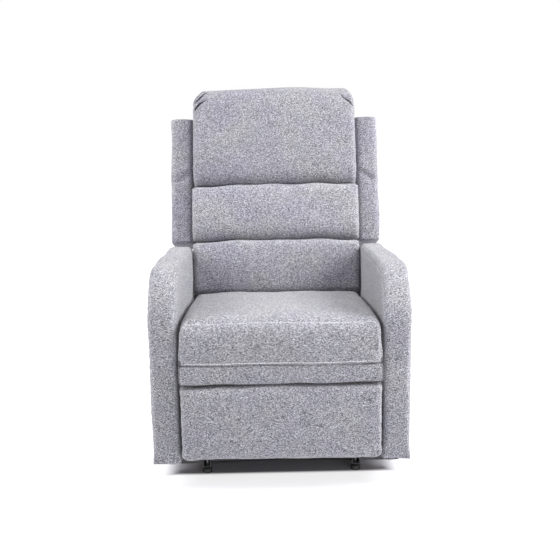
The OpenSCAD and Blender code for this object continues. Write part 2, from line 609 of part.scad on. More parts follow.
base_rails();
swing_brackets();
front_cross_tube();
outriggers();
glide_feet();
glide_studs();
arm_frame_left();
arm_frame_right();
arm_inner_panel_left();
arm_inner_panel_right();
arm_outer_panel_left();
arm_outer_panel_right();
arm_band_left();
arm_band_right();
rear_board();
rear_skirt();
arm_spacers();
arm_bolts();
swing_base_rivets();
release_bezel();
release_pin();
release_cable();
release_catch();
release_paddle();
front_swing_links();
rear_swing_links();
seat_plates();
seat_side_rails();
seat_cross_rails();
seat_springs();
spring_clips();
seat_foam();
seat_cover();
seat_front_panel();
seat_rivets();
seat_bolts();
assist_springs();
front_cranks();
torque_tube();
front_crank_rivets();
rear_cranks();
rear_crank_rivets();
lower_couplers();
upper_couplers();
footrest_brackets();
footrest_rivets();
footrest_board();
footrest_foam();
footrest_cover();
footrest_bolts();
back_brackets();
back_frame();
back_webbing();
headrest_cushion();
lumbar_cushion();
lower_back_cushion();
wing_left();
wing_right();
back_rear_panel();
back_bolts();
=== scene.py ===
"""Recliner armchair: upholstery, stitching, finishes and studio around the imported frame."""

import json
import math

import bmesh
import bpy
import numpy as np
from mathutils import Matrix, Vector
from mathutils.bvhtree import BVHTree


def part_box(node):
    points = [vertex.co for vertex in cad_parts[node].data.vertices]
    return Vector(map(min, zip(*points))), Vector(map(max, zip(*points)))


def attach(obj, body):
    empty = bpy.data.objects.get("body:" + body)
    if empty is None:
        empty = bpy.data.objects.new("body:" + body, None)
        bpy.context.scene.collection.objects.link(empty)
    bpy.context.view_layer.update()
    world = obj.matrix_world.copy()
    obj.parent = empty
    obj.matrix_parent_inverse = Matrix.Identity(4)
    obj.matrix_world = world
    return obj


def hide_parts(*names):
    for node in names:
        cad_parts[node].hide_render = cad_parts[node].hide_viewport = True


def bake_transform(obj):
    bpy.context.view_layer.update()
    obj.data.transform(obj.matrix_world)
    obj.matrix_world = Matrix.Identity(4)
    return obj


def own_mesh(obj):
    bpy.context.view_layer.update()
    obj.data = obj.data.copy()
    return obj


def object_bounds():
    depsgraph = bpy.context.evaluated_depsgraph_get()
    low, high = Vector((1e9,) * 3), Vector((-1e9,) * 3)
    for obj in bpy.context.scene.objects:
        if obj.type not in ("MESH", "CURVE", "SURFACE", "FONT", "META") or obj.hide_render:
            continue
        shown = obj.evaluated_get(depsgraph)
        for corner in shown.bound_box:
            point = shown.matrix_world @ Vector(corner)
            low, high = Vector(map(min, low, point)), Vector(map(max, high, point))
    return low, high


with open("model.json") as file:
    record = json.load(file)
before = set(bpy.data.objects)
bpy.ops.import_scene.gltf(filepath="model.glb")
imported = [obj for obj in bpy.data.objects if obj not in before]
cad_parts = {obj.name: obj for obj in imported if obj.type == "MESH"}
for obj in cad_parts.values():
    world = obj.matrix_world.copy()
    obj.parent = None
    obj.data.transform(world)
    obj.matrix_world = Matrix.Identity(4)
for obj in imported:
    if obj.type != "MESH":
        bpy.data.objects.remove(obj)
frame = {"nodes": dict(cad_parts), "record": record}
cad_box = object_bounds()

MM = 0.001

# ---------- places taken from the frame ----------

arm_lo, arm_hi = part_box("arm_outer_panel_left")
inner_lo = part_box("arm_inner_panel_left")[0]
skirt_lo, skirt_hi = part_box("rear_skirt")
seat_lo, seat_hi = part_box("seat_cover")
front_lo, front_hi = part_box("seat_front_panel")
foot_lo, foot_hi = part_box("footrest_cover")

ARM_FRONT, ARM_REAR = arm_lo[1], arm_hi[1]
ARM_LOW, ARM_TOP = arm_lo[2], arm_hi[2]
ARM_IN, ARM_OUT = inner_lo[0], arm_hi[0]
SEAT_HALF = seat_hi[0]

# The back leans about the foot of its front plane. t is the depth behind that plane and s goes up the slope.
LEAN = math.radians(17.7)
BACK_Y, BACK_Z = 0.1164, 0.42
WING_LOW, WING_HIGH = 0.172, 0.59
WING_IN, WING_OUT = 0.275, 0.343
PANEL_HALF, PANEL_LOW, PANEL_HIGH = 0.262, -0.04, 0.656
BACK_T = (cad_box[1][1] - BACK_Y - 0.655 * math.sin(LEAN)) / math.cos(LEAN)


def back_place(x, t, s):
    y = BACK_Y + t * math.cos(LEAN) + s * math.sin(LEAN)
    z = BACK_Z - t * math.sin(LEAN) + s * math.cos(LEAN)
    return np.stack(np.broadcast_arrays(x, y, z), axis=-1)


# ---------- materials ----------


class Nodes:
    """A material's nodes, made and wired in one call each."""

    def __init__(self, name):
        self.material = bpy.data.materials.new(name)
        self.material.use_nodes = True
        self.tree = self.material.node_tree
        self.shader = self.tree.nodes["Principled BSDF"]

    def add(self, kind, inputs=(), **settings):
        node = self.tree.nodes.new(kind)
        for key, value in settings.items():
            setattr(node, key, value)
        for key, value in dict(inputs).items():
            self.put(node, key, value)
        return node

    def put(self, node, key, value):
        socket = node.inputs[key]
        if hasattr(value, "links"):
            self.tree.links.new(value, socket)
        else:
            socket.default_value = value

    def math(self, operation, a, b=0.0):
        return self.add("ShaderNodeMath", {0: a, 1: b}, operation=operation).outputs[0]

    def noise(self, at, scale, detail=2.0, roughness=0.5):
        settings = {"Vector": at, "Scale": scale, "Detail": detail, "Roughness": roughness}
        return self.add("ShaderNodeTexNoise", settings).outputs["Fac"]

    def stretched(self, at, scale):
        return self.add("ShaderNodeMapping", {"Vector": at, "Scale": scale}).outputs[0]

    def ramp(self, value, stops):
        node = self.add("ShaderNodeValToRGB", {"Fac": value})
        elements = node.color_ramp.elements
        while len(elements) < len(stops):
            elements.new(0.5)
        for element, (position, colour) in zip(elements, stops):
            element.position = position
            element.color = (*colour, 1.0)
        return node.outputs["Color"]

    def multiply(self, a, b):
        node = self.add("ShaderNodeMix", data_type="RGBA", blend_type="MULTIPLY")
        for key, value in ((0, 1.0), (6, a), (7, b)):
            self.put(node, key, value)
        return node.outputs[2]

    def sum(self, *terms):
        """The sum of some values, each with its weight."""
        parts = [self.math("MULTIPLY", value, weight) for value, weight in terms]
        total = parts[0]
        for part in parts[1:]:
            total = self.math("ADD", total, part)
        return total

    def map_range(self, value, low, high, top):
        settings = {"Value": value, "From Min": low, "From Max": high, "To Min": 0.0, "To Max": top}
        node = self.add("ShaderNodeMapRange", settings, interpolation_type="SMOOTHSTEP")
        return node.outputs["Result"]

    def position(self):
        return self.add("ShaderNodeTexCoord").outputs["Object"]

    def bump(self, height, distance, strength=1.0):
        node = self.add("ShaderNodeBump", {"Height": height, "Distance": distance, "Strength": strength})
        self.put(self.shader, "Normal", node.outputs[0])

    def set(self, **values):
        """Sets or links the shader's own sockets, and gives back the finished material."""
        for key, value in values.items():
            self.put(self.shader, key.replace("_", " "), value)
        return self.material


def weave_height(n, at, pitch):
    """Threads over and under each other, on whichever of the three planes the surface faces."""
    coord = n.add("ShaderNodeTexCoord")
    turn = 2 * math.pi / pitch
    split = n.add("ShaderNodeSeparateXYZ", {0: at})
    wave = [n.math("SINE", n.math("MULTIPLY", split.outputs[k], turn)) for k in range(3)]
    normal = n.add("ShaderNodeSeparateXYZ", {0: coord.outputs["Normal"]})
    total = 0.0
    for k in range(3):
        weight = n.math("POWER", n.math("ABSOLUTE", normal.outputs[k]), 4.0)
        across = n.math("MULTIPLY", wave[(k + 1) % 3], wave[(k + 2) % 3])
        total = n.math("ADD", n.math("MULTIPLY", across, weight), total)
    return total


def heather(name, dark, mid, light, tint):
    """Woven heather upholstery: dark and pale yarns in short flecks, over a slow mottle."""
    n = Nodes(name)
    at = n.position()
    wobble = n.add("ShaderNodeVectorMath", operation="SCALE")
    n.put(wobble, 0, n.add("ShaderNodeTexNoise", {"Vector": at, "Scale": 90.0}).outputs["Color"])
    n.put(wobble, "Scale", 0.0012)
    loose = n.add("ShaderNodeVectorMath", {0: at, 1: wobble.outputs[0]}, operation="ADD").outputs[0]
    fleck = n.noise(n.stretched(loose, (0.85, 1.0, 1.0)), 760.0, 1.0, 0.6)
    slub = n.noise(n.stretched(loose, (0.5, 0.9, 1.0)), 390.0, 1.0, 0.5)
    yarn = n.sum((fleck, 0.7), (slub, 0.3))
    colour = n.ramp(yarn, [(0.405, dark), (0.485, mid), (0.525, mid), (0.615, light)])
    mottle = n.ramp(n.noise(at, 34.0, 3.0, 0.55), [(0.3, (0.9, 0.9, 0.9)), (0.7, (1.0, 1.0, 1.0))])
    # The patch tint is random tone; on the back's and the headrest's copies it also carries painted shade.
    patch = n.ramp(n.noise(at, 9.0), [(0.35, tint), (0.65, (1.0, 1.0, 1.0))])
    fibre = n.noise(loose, 1500.0, 2.0, 0.6)
    n.bump(n.sum((weave_height(n, loose, 0.0019), 0.35), (fibre, 0.5), (yarn, 1.1)), 0.0006, 0.85)
    return n.set(
        Base_Color=n.multiply(n.multiply(colour, mottle), patch),
        Roughness=0.94, Sheen_Weight=0.22, Sheen_Roughness=0.45, Specular_IOR_Level=0.12,
    )


def coated_steel():
    n = Nodes("black_powder_coat")
    at = n.position()
    n.bump(n.noise(at, 900.0), 0.0002, 0.5)
    return n.set(
        Base_Color=n.ramp(
            n.noise(at, 60.0, 3.0), [(0.3, (0.012, 0.012, 0.013)), (0.75, (0.028, 0.028, 0.03))]
        ),
        Roughness=n.math("ADD", n.math("MULTIPLY", n.noise(at, 220.0, 3.0), 0.22), 0.3),
        Metallic=0.0, Coat_Weight=0.25, Coat_Roughness=0.35,
    )


def zinc():
    n = Nodes("zinc_plate")
    at = n.position()
    n.bump(n.noise(n.stretched(at, (1.0, 8.0, 8.0)), 350.0), 0.0001, 0.5)
    return n.set(
        Base_Color=n.ramp(n.noise(at, 140.0, 4.0), [(0.3, (0.42, 0.43, 0.45)), (0.7, (0.62, 0.63, 0.64))]),
        Roughness=n.math("ADD", n.math("MULTIPLY", n.noise(at, 300.0, 3.0), 0.25), 0.22),
        Metallic=1.0,
    )


def plywood():
    n = Nodes("plywood")
    grain = n.noise(n.stretched(n.position(), (3.0, 0.9, 14.0)), 22.0, 5.0, 0.6)
    shade = n.ramp(grain, [(0.3, (0.34, 0.21, 0.1)), (0.52, (0.52, 0.36, 0.2)), (0.75, (0.66, 0.49, 0.3))])
    n.bump(grain, 0.0005, 0.6)
    return n.set(Base_Color=shade, Roughness=0.72, Specular_IOR_Level=0.3)


def moulded_plastic():
    n = Nodes("moulded_plastic")
    at = n.position()
    n.bump(n.noise(at, 1400.0), 0.0001, 0.6)
    return n.set(
        Base_Color=n.ramp(n.noise(at, 90.0), [(0.3, (0.011, 0.011, 0.012)), (0.8, (0.021, 0.021, 0.022))]),
        Roughness=n.math("ADD", n.math("MULTIPLY", n.noise(at, 400.0), 0.2), 0.36),
    )


def open_foam():
    n = Nodes("open_foam")
    cells = n.add("ShaderNodeTexVoronoi", {"Vector": n.position(), "Scale": 600.0}).outputs["Distance"]
    shade = n.ramp(cells, [(0.1, (0.5, 0.46, 0.34)), (0.6, (0.78, 0.74, 0.6))])
    n.bump(cells, 0.0006, 0.7)
    return n.set(Base_Color=shade, Roughness=0.95, Specular_IOR_Level=0.1)


def dark_weave(name, pitch, depth):
    n = Nodes(name)
    at = n.position()
    shade = n.ramp(n.noise(at, 500.0), [(0.3, (0.02, 0.02, 0.022)), (0.7, (0.07, 0.07, 0.075))])
    n.bump(weave_height(n, at, pitch), depth, 0.8)
    return n.set(Base_Color=shade, Roughness=0.85)


def thread():
    n = Nodes("pale_thread")
    twist = n.noise(n.stretched(n.position(), (1.0, 3.0, 3.0)), 1600.0, 1.0)
    shade = n.ramp(twist, [(0.35, (0.62, 0.62, 0.64)), (0.65, (0.86, 0.86, 0.87))])
    n.bump(twist, 0.0002, 0.6)
    return n.set(Base_Color=shade, Roughness=0.8, Sheen_Weight=0.2)


def tuck_shade():
    """Painted shadow for the inside of a closed fold: the same cloth, nearly black."""
    n = Nodes("tuck_shade")
    fleck = n.noise(n.position(), 900.0)
    shade = n.ramp(fleck, [(0.35, (0.004, 0.004, 0.005)), (0.7, (0.02, 0.02, 0.024))])
    n.bump(fleck, 0.0003, 0.5)
    return n.set(Base_Color=shade, Roughness=0.95)


# Dark, middle and pale yarns. The back's cloth is a bluer, slightly darker copy, painted shade for the
# cooler, dimmer light on its upright faces, and the headrest's is darker still, more painted shade.
YARNS = (0.05, 0.05, 0.058), (0.262, 0.259, 0.281), (0.64, 0.636, 0.665)
BACK_SHADE_TINT, HEAD_PAINTED_SHADE = (0.915, 0.905, 0.99), 0.86
FABRIC = heather("heather_fabric", *YARNS, (0.95, 0.95, 0.985))
BACK_SHADED_FABRIC = heather("heather_shaded_back", *YARNS, BACK_SHADE_TINT)
# Painted shade: the headrest's yarns are darkened so that it reads dimmer than the seat under the same
# lights.
HEADREST_SHADED_YARNS = (tuple(c * HEAD_PAINTED_SHADE for c in yarn) for yarn in YARNS)
HEADREST_SHADED_FABRIC = heather("heather_shaded_headrest", *HEADREST_SHADED_YARNS, BACK_SHADE_TINT)
STEEL, ZINC, WOOD = coated_steel(), zinc(), plywood()
PLASTIC, FOAM, THREAD = moulded_plastic(), open_foam(), thread()
STRAP, LINING = dark_weave("strap_weave", 0.003, 0.0005), dark_weave("black_lining", 0.0012, 0.0002)
TUCK_PAINTED_SHADOW = tuck_shade()
LINED_NODES = ("footrest_board", "back_frame", "seat_side_rails")

FINISH = {
    "upholstery": FABRIC,
    "rear_upholstery": FABRIC,
    "foam": FOAM,
    "webbing": STRAP,
    "plywood": WOOD,
    "black_steel": STEEL,
    "zinc_steel": ZINC,
    "black_plastic": PLASTIC,
}
for part in frame["record"]["subparts"]:
    lined = part["node"] in LINED_NODES
    for place in frame["nodes"][part["node"]].material_slots:
        place.material = LINING if lined else FINISH[part["material_slot"]]

# ---------- shapes ----------


def ripple(seed, u, v, size, octaves=7):
    """Smooth seeded waviness between about -1 and 1 over the plane of u and v, in metres."""
    rng = np.random.default_rng(seed)
    total = np.zeros(np.broadcast(u, v).shape)
    for _ in range(octaves):
        angle, phase = rng.uniform(0, 2 * math.pi, 2)
        length = size * rng.uniform(0.6, 1.6)
        total = total + np.sin(2 * math.pi * (u * math.cos(angle) + v * math.sin(angle)) / length + phase)
    return total / math.sqrt(octaves)


def shoulder(distance, reach, drop):
    """How far a pad's face falls near its edge: a quarter of an ellipse, reach wide and drop deep."""
    q = np.clip(1 - distance / reach, 0, 1)
    return -drop * (1 - np.sqrt(1 - q * q))


def bell(distance, width):
    return np.exp(-((distance / width) ** 2))


def groove(distance, depth, width):
    return -depth * bell(distance, width)


def on_face(e, soft):
    """Near 1 on a pad's face and near 0 on its side, where e is the distance in from the edge."""
    return 1 / (1 + np.exp(-e / soft))


def dome(v, half):
    """1 in the middle and 0 at half the width."""
    return 1 - np.clip(v / half, -1, 1) ** 2


def pucker(distance, along, seed, depth, reach=0.022, pitch=0.026):
    """Small gathers that fade away from a seam."""
    wander = ripple(seed, along, 0 * along, 0.13, 4) * 1.8
    size = 0.6 + 0.4 * ripple(seed + 5, along, 0 * along, 0.08, 4)
    return depth * size * np.sin(2 * math.pi * along / pitch + wander) * np.exp(-np.abs(distance) / reach)


def stations(length, step, fine=()):
    """Sample places along a length: even, with closer ones near both ends and at each fine place."""
    close = [0.0, 0.0008, 0.002, 0.004, 0.0065, 0.0095, 0.013]
    marks = list(close) + [length - c for c in close]
    for f in fine:
        marks += [f + k * MM for k in (-6, -3.5, -1.8, 0, 1.8, 3.5, 6)]
    count = max(int(length / step), 2)
    even = [length * k / count for k in range(count + 1)]
    keep = [e for e in even if min(abs(e - m) for m in marks) > step * 0.45]
    return np.array(sorted(m for m in set(marks + keep) if -1e-9 <= m <= length + 1e-9))


def run_length(points):
    """The length along a line of points, at each of them."""
    return np.concatenate([[0], np.cumsum(np.linalg.norm(np.diff(points, axis=0), axis=1))])


def curve_through(points, samples=40):
    """A smooth curve through control points, as evenly spaced points with its length."""
    p = np.array(points, float)
    p = np.vstack([2 * p[0] - p[1], p, 2 * p[-1] - p[-2]])
    t = np.linspace(0, 1, samples, endpoint=False)[:, None]
    run = []
    for a, b, c, d in zip(p, p[1:], p[2:], p[3:]):
        slope = (c - a) * 0.5, (d - b) * 0.5
        run.append(
            (2 * t**3 - 3 * t**2 + 1) * b + (t**3 - 2 * t**2 + t) * slope[0]
            + (3 * t**2 - 2 * t**3) * c + (t**3 - t**2) * slope[1]
        )
    return np.vstack(run + [p[-2][None]])


class Path:
    """A side curve with its length, and its points and left-hand normals at given lengths."""

    def __init__(self, points):
        self.points = curve_through(points)
        self.s = run_length(self.points)
        self.length = self.s[-1]

    def place(self, u):
        return np.stack([np.interp(u, self.s, self.points[:, k]) for k in (0, 1)], axis=-1)

    def at(self, u):
        step = 0.0015
        ahead = self.place(np.clip(u + step, 0, self.length)) - self.place(np.clip(u - step, 0, self.length))
        ahead /= np.linalg.norm(ahead, axis=-1, keepdims=True)
        return self.place(u), np.stack([-ahead[..., 1], ahead[..., 0]], axis=-1)

    def nearest(self, spot):
        return self.s[np.argmin(np.linalg.norm(self.points - np.array(spot), axis=1))]


def finish_piece(obj, body, nodes=(), fabric=None, smooth=True):
    """Smooths a piece, sets its fabric if one is given, hangs it on the body it rides on and hides the
    frame's nodes it stands for.
    """
    if smooth:
        modifier = obj.modifiers.new("smooth", "SUBSURF")
        modifier.levels = modifier.render_levels = 1
    if fabric is not None:
        obj.data.materials[0] = fabric
    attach(obj, body)
    if nodes:
        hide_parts(*nodes)


def mesh_object(name, verts, faces, material):
    mesh = bpy.data.meshes.new(name)
    mesh.from_pydata([tuple(v) for v in verts], [], faces)
    mesh.materials.append(material)
    obj = bpy.data.objects.new(name, mesh)
    bpy.context.scene.collection.objects.link(obj)
    bm = bmesh.new()
    bm.from_mesh(mesh)
    bmesh.ops.recalc_face_normals(bm, faces=bm.faces)
    bm.to_mesh(mesh)
    bm.free()
    mesh.shade_smooth()
    return obj


def circle(sides):
    return [2 * math.pi * j / sides for j in range(sides)]


def tube_faces(base, rings, sides):
    """The faces of a closed tube whose rings of vertices start at base."""
    faces = []
    for ring in range(rings - 1):
        q = base + ring * sides
        for j in range(sides):
            k = (j + 1) % sides
            faces.append((q + j, q + k, q + sides + k, q + sides + j))
    faces.append(tuple(base + j for j in reversed(range(sides))))
    faces.append(tuple(base + (rings - 1) * sides + j for j in range(sides)))
    return faces


def closed_pad(name, outer, inner, hole=None):
    """A closed cushion skin from two grids of points that share their border. hole marks cells left open."""
    rows, cols = outer.shape[:2]
    index = np.arange(rows * cols).reshape(rows, cols)
    under = index.copy()
    under[1:-1, 1:-1] = rows * cols + np.arange((rows - 2) * (cols - 2)).reshape(rows - 2, cols - 2)
    verts = np.vstack([outer.reshape(-1, 3), inner[1:-1, 1:-1].reshape(-1, 3)])
    open_cell = np.zeros((rows - 1, cols - 1), bool) if hole is None else hole
    faces = []
    for grid, flip in ((index, False), (under, True)):
        quads = np.stack([grid[:-1, :-1], grid[1:, :-1], grid[1:, 1:], grid[:-1, 1:]], axis=-1)[~open_cell]
        faces += [tuple(int(k) for k in (q[::-1] if flip else q)) for q in quads]
    if hole is not None:
        r, c = np.nonzero(hole)
        r0, r1, c0, c1 = r.min(), r.max() + 1, c.min(), c.max() + 1
        loop = [(i, c0) for i in range(r0, r1)] + [(r1, j) for j in range(c0, c1)]
        loop += [(i, c1) for i in range(r1, r0, -1)] + [(r0, j) for j in range(c1, c0, -1)]
        for a, b in zip(loop, loop[1:] + loop[:1]):
            faces.append((int(index[a]), int(index[b]), int(under[b]), int(under[a])))
    obj = mesh_object(name, verts, faces, FABRIC)
    obj["rows"], obj["cols"] = rows, cols
    return obj


def loft(name, outer, inner, lo, hi, place, rise, radius=(0.03, 0.03), step=0.0075, walls=4, arcs=6,
         fine_u=(), fine_v=(), taper=None, flare=False, edge_share=None):
    """A closed pad. Its face follows the outer path and its underside the inner line, both run across from
    lo to hi, and rounded edges and side walls join them. rise(u, v, e) lifts the skin, where v runs across
    it and e is the distance in from the edge. taper(points) narrows the pad along its path, and with flare
    only at its face. edge_share(u) is the share of the edge's radius that is used along the path."""
    u = stations(outer.length, step, fine_u)
    at, normal = outer.at(u)
    gap = inner(u, at, normal) - at
    depth = np.linalg.norm(gap, axis=1, keepdims=True)
    down = gap / depth
    span = hi - lo
    round_off = 1 if edge_share is None else edge_share(u)[:, None]
    r_lo, r_hi = (np.minimum(r * round_off, 0.85 * depth) for r in radius)
    wall = np.linspace(0, 1, walls, endpoint=False)[None]
    turn = np.linspace(0, math.pi / 2, arcs)[None]
    inside = span - sum(radius)
    flat = stations(inside, step, [f - lo - radius[0] for f in fine_v])[None, 1:-1] / inside
    one = np.ones_like(depth)
    wide = [
        lo * one + 0 * wall, lo + r_lo * (1 - np.cos(turn)), lo + r_lo + (span - r_lo - r_hi) * flat,
        (hi - r_hi * (1 - np.cos(turn)))[:, ::-1], hi * one + 0 * wall,
    ]
    level = 0 * one * flat
    deep = [
        depth - (depth - r_lo) * wall, r_lo * (1 - np.sin(turn)), level, (r_hi * (1 - np.sin(turn)))[:, ::-1],
        (depth - (depth - r_hi) * wall)[:, ::-1],
    ]
    aside = [-one + 0 * wall, -np.cos(turn) * one, level, (np.cos(turn) * one)[:, ::-1], one + 0 * wall]
    wide, deep, aside = (np.hstack(part) for part in (wide, deep, aside))
    upward = np.sqrt(np.clip(1 - aside**2, 0, 1))
    fullest = int(np.argmax(depth))
    along = np.hypot(np.diff(wide[fullest]), np.diff(deep[fullest]))
    across = np.concatenate([[0], np.cumsum(along)])
    v = across - across[-1] / 2
    edge = across[walls + arcs // 2]
    e = np.minimum(across - edge, across[-1] - edge - across)
    U, V = np.meshgrid(u, v, indexing="ij")
    E = np.broadcast_to(e, U.shape)
    lift = rise(U, V, E)
    share = one if taper is None else taper(at)[:, None]
    share = share * np.ones_like(wide)
    under_share = share
    if flare:
        share = share + (1 - share) * (deep / depth) ** 2
        under_share = np.ones_like(share)
    mid = (lo + hi) / 2
    x = mid + (wide + aside * lift - mid) * share
    skin = [
        at[:, k][:, None] + down[:, k][:, None] * deep + normal[:, k][:, None] * upward * lift for k in (0, 1)
    ]
    under_x = mid + (lo + (hi - lo) * across[None] / across[-1] - mid) * under_share
    under = [(at[:, k] + gap[:, k])[:, None] + 0 * V for k in (0, 1)]
    return closed_pad(name, place(x, *skin), place(under_x, *under))


def shell(thickness):
    """The inner line of a thin pad: the outer path, moved in by the thickness."""
    return lambda u, at, normal: at - normal * thickness


def coordinates(obj):
    flat = np.empty(len(obj.data.vertices) * 3)
    obj.data.vertices.foreach_get("co", flat)
    return flat.reshape(-1, 3)


def set_coordinates(obj, co):
    obj.data.vertices.foreach_set("co", co.ravel())
    obj.data.update()


def inflate(obj, pressure=4.0, cap=0.012, grow=0.02, frames=20, stiffness=15.0, bending=0.4):
    """Cloth simulation of the face of a pad, pinned at its seams and under it, then applied."""
    rows, cols = obj["rows"], obj["cols"]
    total = len(obj.data.vertices)
    inside = np.zeros((rows, cols), bool)
    inside[2:-2, 2:-2] = True
    pinned = [i for i in range(total) if i >= rows * cols or not inside.flat[i]]
    group = obj.vertex_groups.new(name="pin")
    group.add(pinned, 1.0, "REPLACE")
    before = coordinates(obj)
    cloth = obj.modifiers.new("cloth", "CLOTH")
    settings = {
        "quality": 5, "mass": 0.25, "tension_stiffness": stiffness, "compression_stiffness": stiffness,
        "shear_stiffness": stiffness / 3, "bending_stiffness": bending, "use_pressure": True,
        "uniform_pressure_force": pressure, "shrink_min": -grow, "vertex_group_mass": "pin",
    }
    for key, value in settings.items():
        setattr(cloth.settings, key, value)
    cloth.settings.effector_weights.gravity = 0
    cloth.collision_settings.use_self_collision = False
    cloth.point_cache.frame_start, cloth.point_cache.frame_end = 1, frames
    scene = bpy.context.scene
    for f in range(1, frames + 1):
        scene.frame_set(f)
    graph = bpy.context.evaluated_depsgraph_get()
    swollen = obj.evaluated_get(graph)
    flat = np.empty(total * 3)
    swollen.data.vertices.foreach_get("co", flat)
    obj.modifiers.remove(cloth)
    obj.vertex_groups.clear()
    scene.frame_set(1)
    move = flat.reshape(-1, 3) - before
    length = np.linalg.norm(move, axis=1, keepdims=True)
    move *= cap * np.tanh(length / cap) / np.maximum(length, 1e-9)
    set_coordinates(obj, before + move)


def rest_between(obj, half):
    """Flatten a pad's sides where they rest against the arms."""
    co = coordinates(obj)
    co[:, 0] = np.clip(co[:, 0], -half, half)
    set_coordinates(obj, co)


def surface(obj):
    """The finished skin of a piece, to lay stitches on."""
    graph = bpy.context.evaluated_depsgraph_get()
    mesh = obj.evaluated_get(graph).to_mesh()
    bm = bmesh.new()
    bm.from_mesh(mesh)
    tree = BVHTree.FromBMesh(bm)
    bm.free()
    return tree


def stitches(name, tree, points, body, length=0.0052, gap=0.0022, radius=0.00055):
    """A row of short threads laid on a skin along a line of points, each one tapered and closed."""
    points = np.array(points, float)
    s = run_length(points)
    verts, faces = [], []
    sides, profile = 6, ((0.0, 0.25), (0.12, 0.85), (0.5, 1.0), (0.88, 0.85), (1.0, 0.25))
    for k in range(int(s[-1] / (length + gap))):
        start = k * (length + gap)
        at = [start + f * length for f in (0.0, 0.5, 1.0)]
        spots = [tree.find_nearest([np.interp(here, s, points[:, c]) for c in range(3)]) for here in at]
        if any(spot[0] is None for spot in spots):
            continue
        a, middle, b = (spot[0] + spot[1] * (radius * sink) for spot, sink in zip(spots, (-0.2, 0.6, -0.2)))
        up = spots[1][1]
        side_way = (b - a).cross(up).normalized()
        base = len(verts)
        for f, size in profile:
            centre = a * (1 - f) ** 2 + middle * (2 * f * (1 - f)) + b * f**2
            for angle in circle(sides):
                verts.append(centre + (side_way * math.cos(angle) + up * math.sin(angle)) * (radius * size))
        faces += tube_faces(base, len(profile), sides)
    finish_piece(mesh_object(name, verts, faces, THREAD), body, smooth=False)


# ---------- back pillows ----------

SEAMS = [(0.1735, 7), (0.3575, 8)]
REAR_PLANE = 0.012
HEAD_HALF = 0.266
REST_GAP = 0.0008


def pillow_place(x, t, s):
    """The seams between the pillows wander a little, and carry both neighbours with them."""
    front = np.clip((0.03 - t) / 0.04, 0, 1)
    for level, seed in SEAMS:
        wave = 0.0022 * ripple(seed, x, 0 * x, 0.16, 5) - 0.003 * (x / HEAD_HALF) ** 2
        s = s + front * wave * bell(s - level, 0.035)
    return back_place(x, t, s)


def back_pillow(name, node, controls, half, seed, side_gather=0.0024):
    path = Path(controls)
    low, high = controls[0][1], controls[-1][1]

    def under(u, at, normal):
        return np.stack([np.full_like(u, REAR_PLANE), np.clip(at[:, 1], low + 0.004, high - 0.004)], axis=1)

    def rise(u, v, e):
        edge = np.minimum(u, path.length - u)
        face = on_face(e, 0.006)
        lift = 0.004 * face * dome(v, half)
        lift += 0.0014 * ripple(seed, u, v, 0.16) * face
        lift += pucker(edge, v, seed + 1, 0.0018, 0.018, 0.031) * face
        lift += pucker(e, u, seed + 2, side_gather, 0.018, 0.034)
        return lift + groove(e + 0.004, 0.0022, 0.0035) * (edge > 0.01)

    obj = loft(
        name, path, under, -half, half, pillow_place, rise, (0.017, 0.017),
        fine_v=(-half + 0.02, half - 0.02),
    )
    inflate(obj, pressure=5.0, cap=0.006, grow=0.03)
    if high < WING_LOW + 0.01:
        rest_between(obj, ARM_IN - REST_GAP)
    finish_piece(obj, "back", [node], fabric=BACK_SHADED_FABRIC)


back_pillow(
    "lower_back_pillow", "lower_back_cushion",
    [(0.002, 0.003), (-0.018, 0.004), (-0.033, 0.015), (-0.044, 0.06), (-0.0515, 0.105), (-0.053, 0.14),
     (-0.0495, 0.161), (-0.037, 0.169), (-0.016, 0.171), (0.0, 0.1715)],
    0.269, 11, 0.0012,
)
back_pillow(
    "lumbar_pillow", "lumbar_cushion",
    [(0.002, 0.1755), (-0.016, 0.1758), (-0.034, 0.179), (-0.049, 0.191), (-0.0565, 0.22), (-0.0575, 0.27),
     (-0.0555, 0.32), (-0.0515, 0.341), (-0.044, 0.351), (-0.03, 0.3546), (-0.016, 0.3554), (0.0, 0.356)],
    0.27, 23, 0.003,
)

# The headrest rolls over the frame's top, and its upper corners are tucked in.
head_path = Path(
    [(0.002, 0.3595), (-0.016, 0.3598), (-0.037, 0.3635), (-0.054, 0.378), (-0.0605, 0.41), (-0.059, 0.48),
     (-0.053, 0.575), (-0.045, 0.63), (-0.024, 0.671), (0.014, 0.6905), (0.058, 0.69), (0.098, 0.682),
     (0.126, 0.67), (0.137, 0.66)]
)
# Length along the path (1 is its end), depth and height of the underside
HEAD_UNDER = [
    (0.0, 0.012, 0.363), (0.26, 0.012, 0.56), (0.36, 0.014, 0.64), (0.41, 0.028, 0.656), (1.0, 0.132, 0.6565),
]
HEAD_SIDE = 0.648
head_side_at = head_path.s[np.argmax(head_path.points[:, 1] > HEAD_SIDE)]


def head_under(u, at, normal):
    key = [k if k < 1 else head_path.length for k, _, _ in HEAD_UNDER]
    return np.stack([np.interp(u, key, [row[c] for row in HEAD_UNDER]) for c in (1, 2)], axis=1)


def head_taper(at):
    """The corners round in above the height where the front starts to roll back."""
    climb = np.clip((at[:, 1] - 0.632) / 0.063, 0, 1)
    return 1 - 0.038 * (1 - np.sqrt(1 - 0.98 * climb**2)) / HEAD_HALF


def head_rise(u, v, e):
    edge = np.minimum(u, head_path.length - u)
    face = on_face(e, 0.006)
    lift = 0.0045 * face * dome(v, HEAD_HALF)
    lift += 0.0016 * ripple(31, u, v, 0.2) * face
    lift += pucker(edge, v, 32, 0.0018, 0.018, 0.033) * face
    lift += pucker(e, u, 33, 0.0018, 0.018, 0.04)
    lift += groove(e + 0.004, 0.0022, 0.0035) * (edge > 0.01)
    rear = np.clip((head_path.length - u) / 0.05, 0, 1)
    return lift + 0.0035 * v / HEAD_HALF * np.clip((u - 0.33) / 0.06, 0, 1) * rear


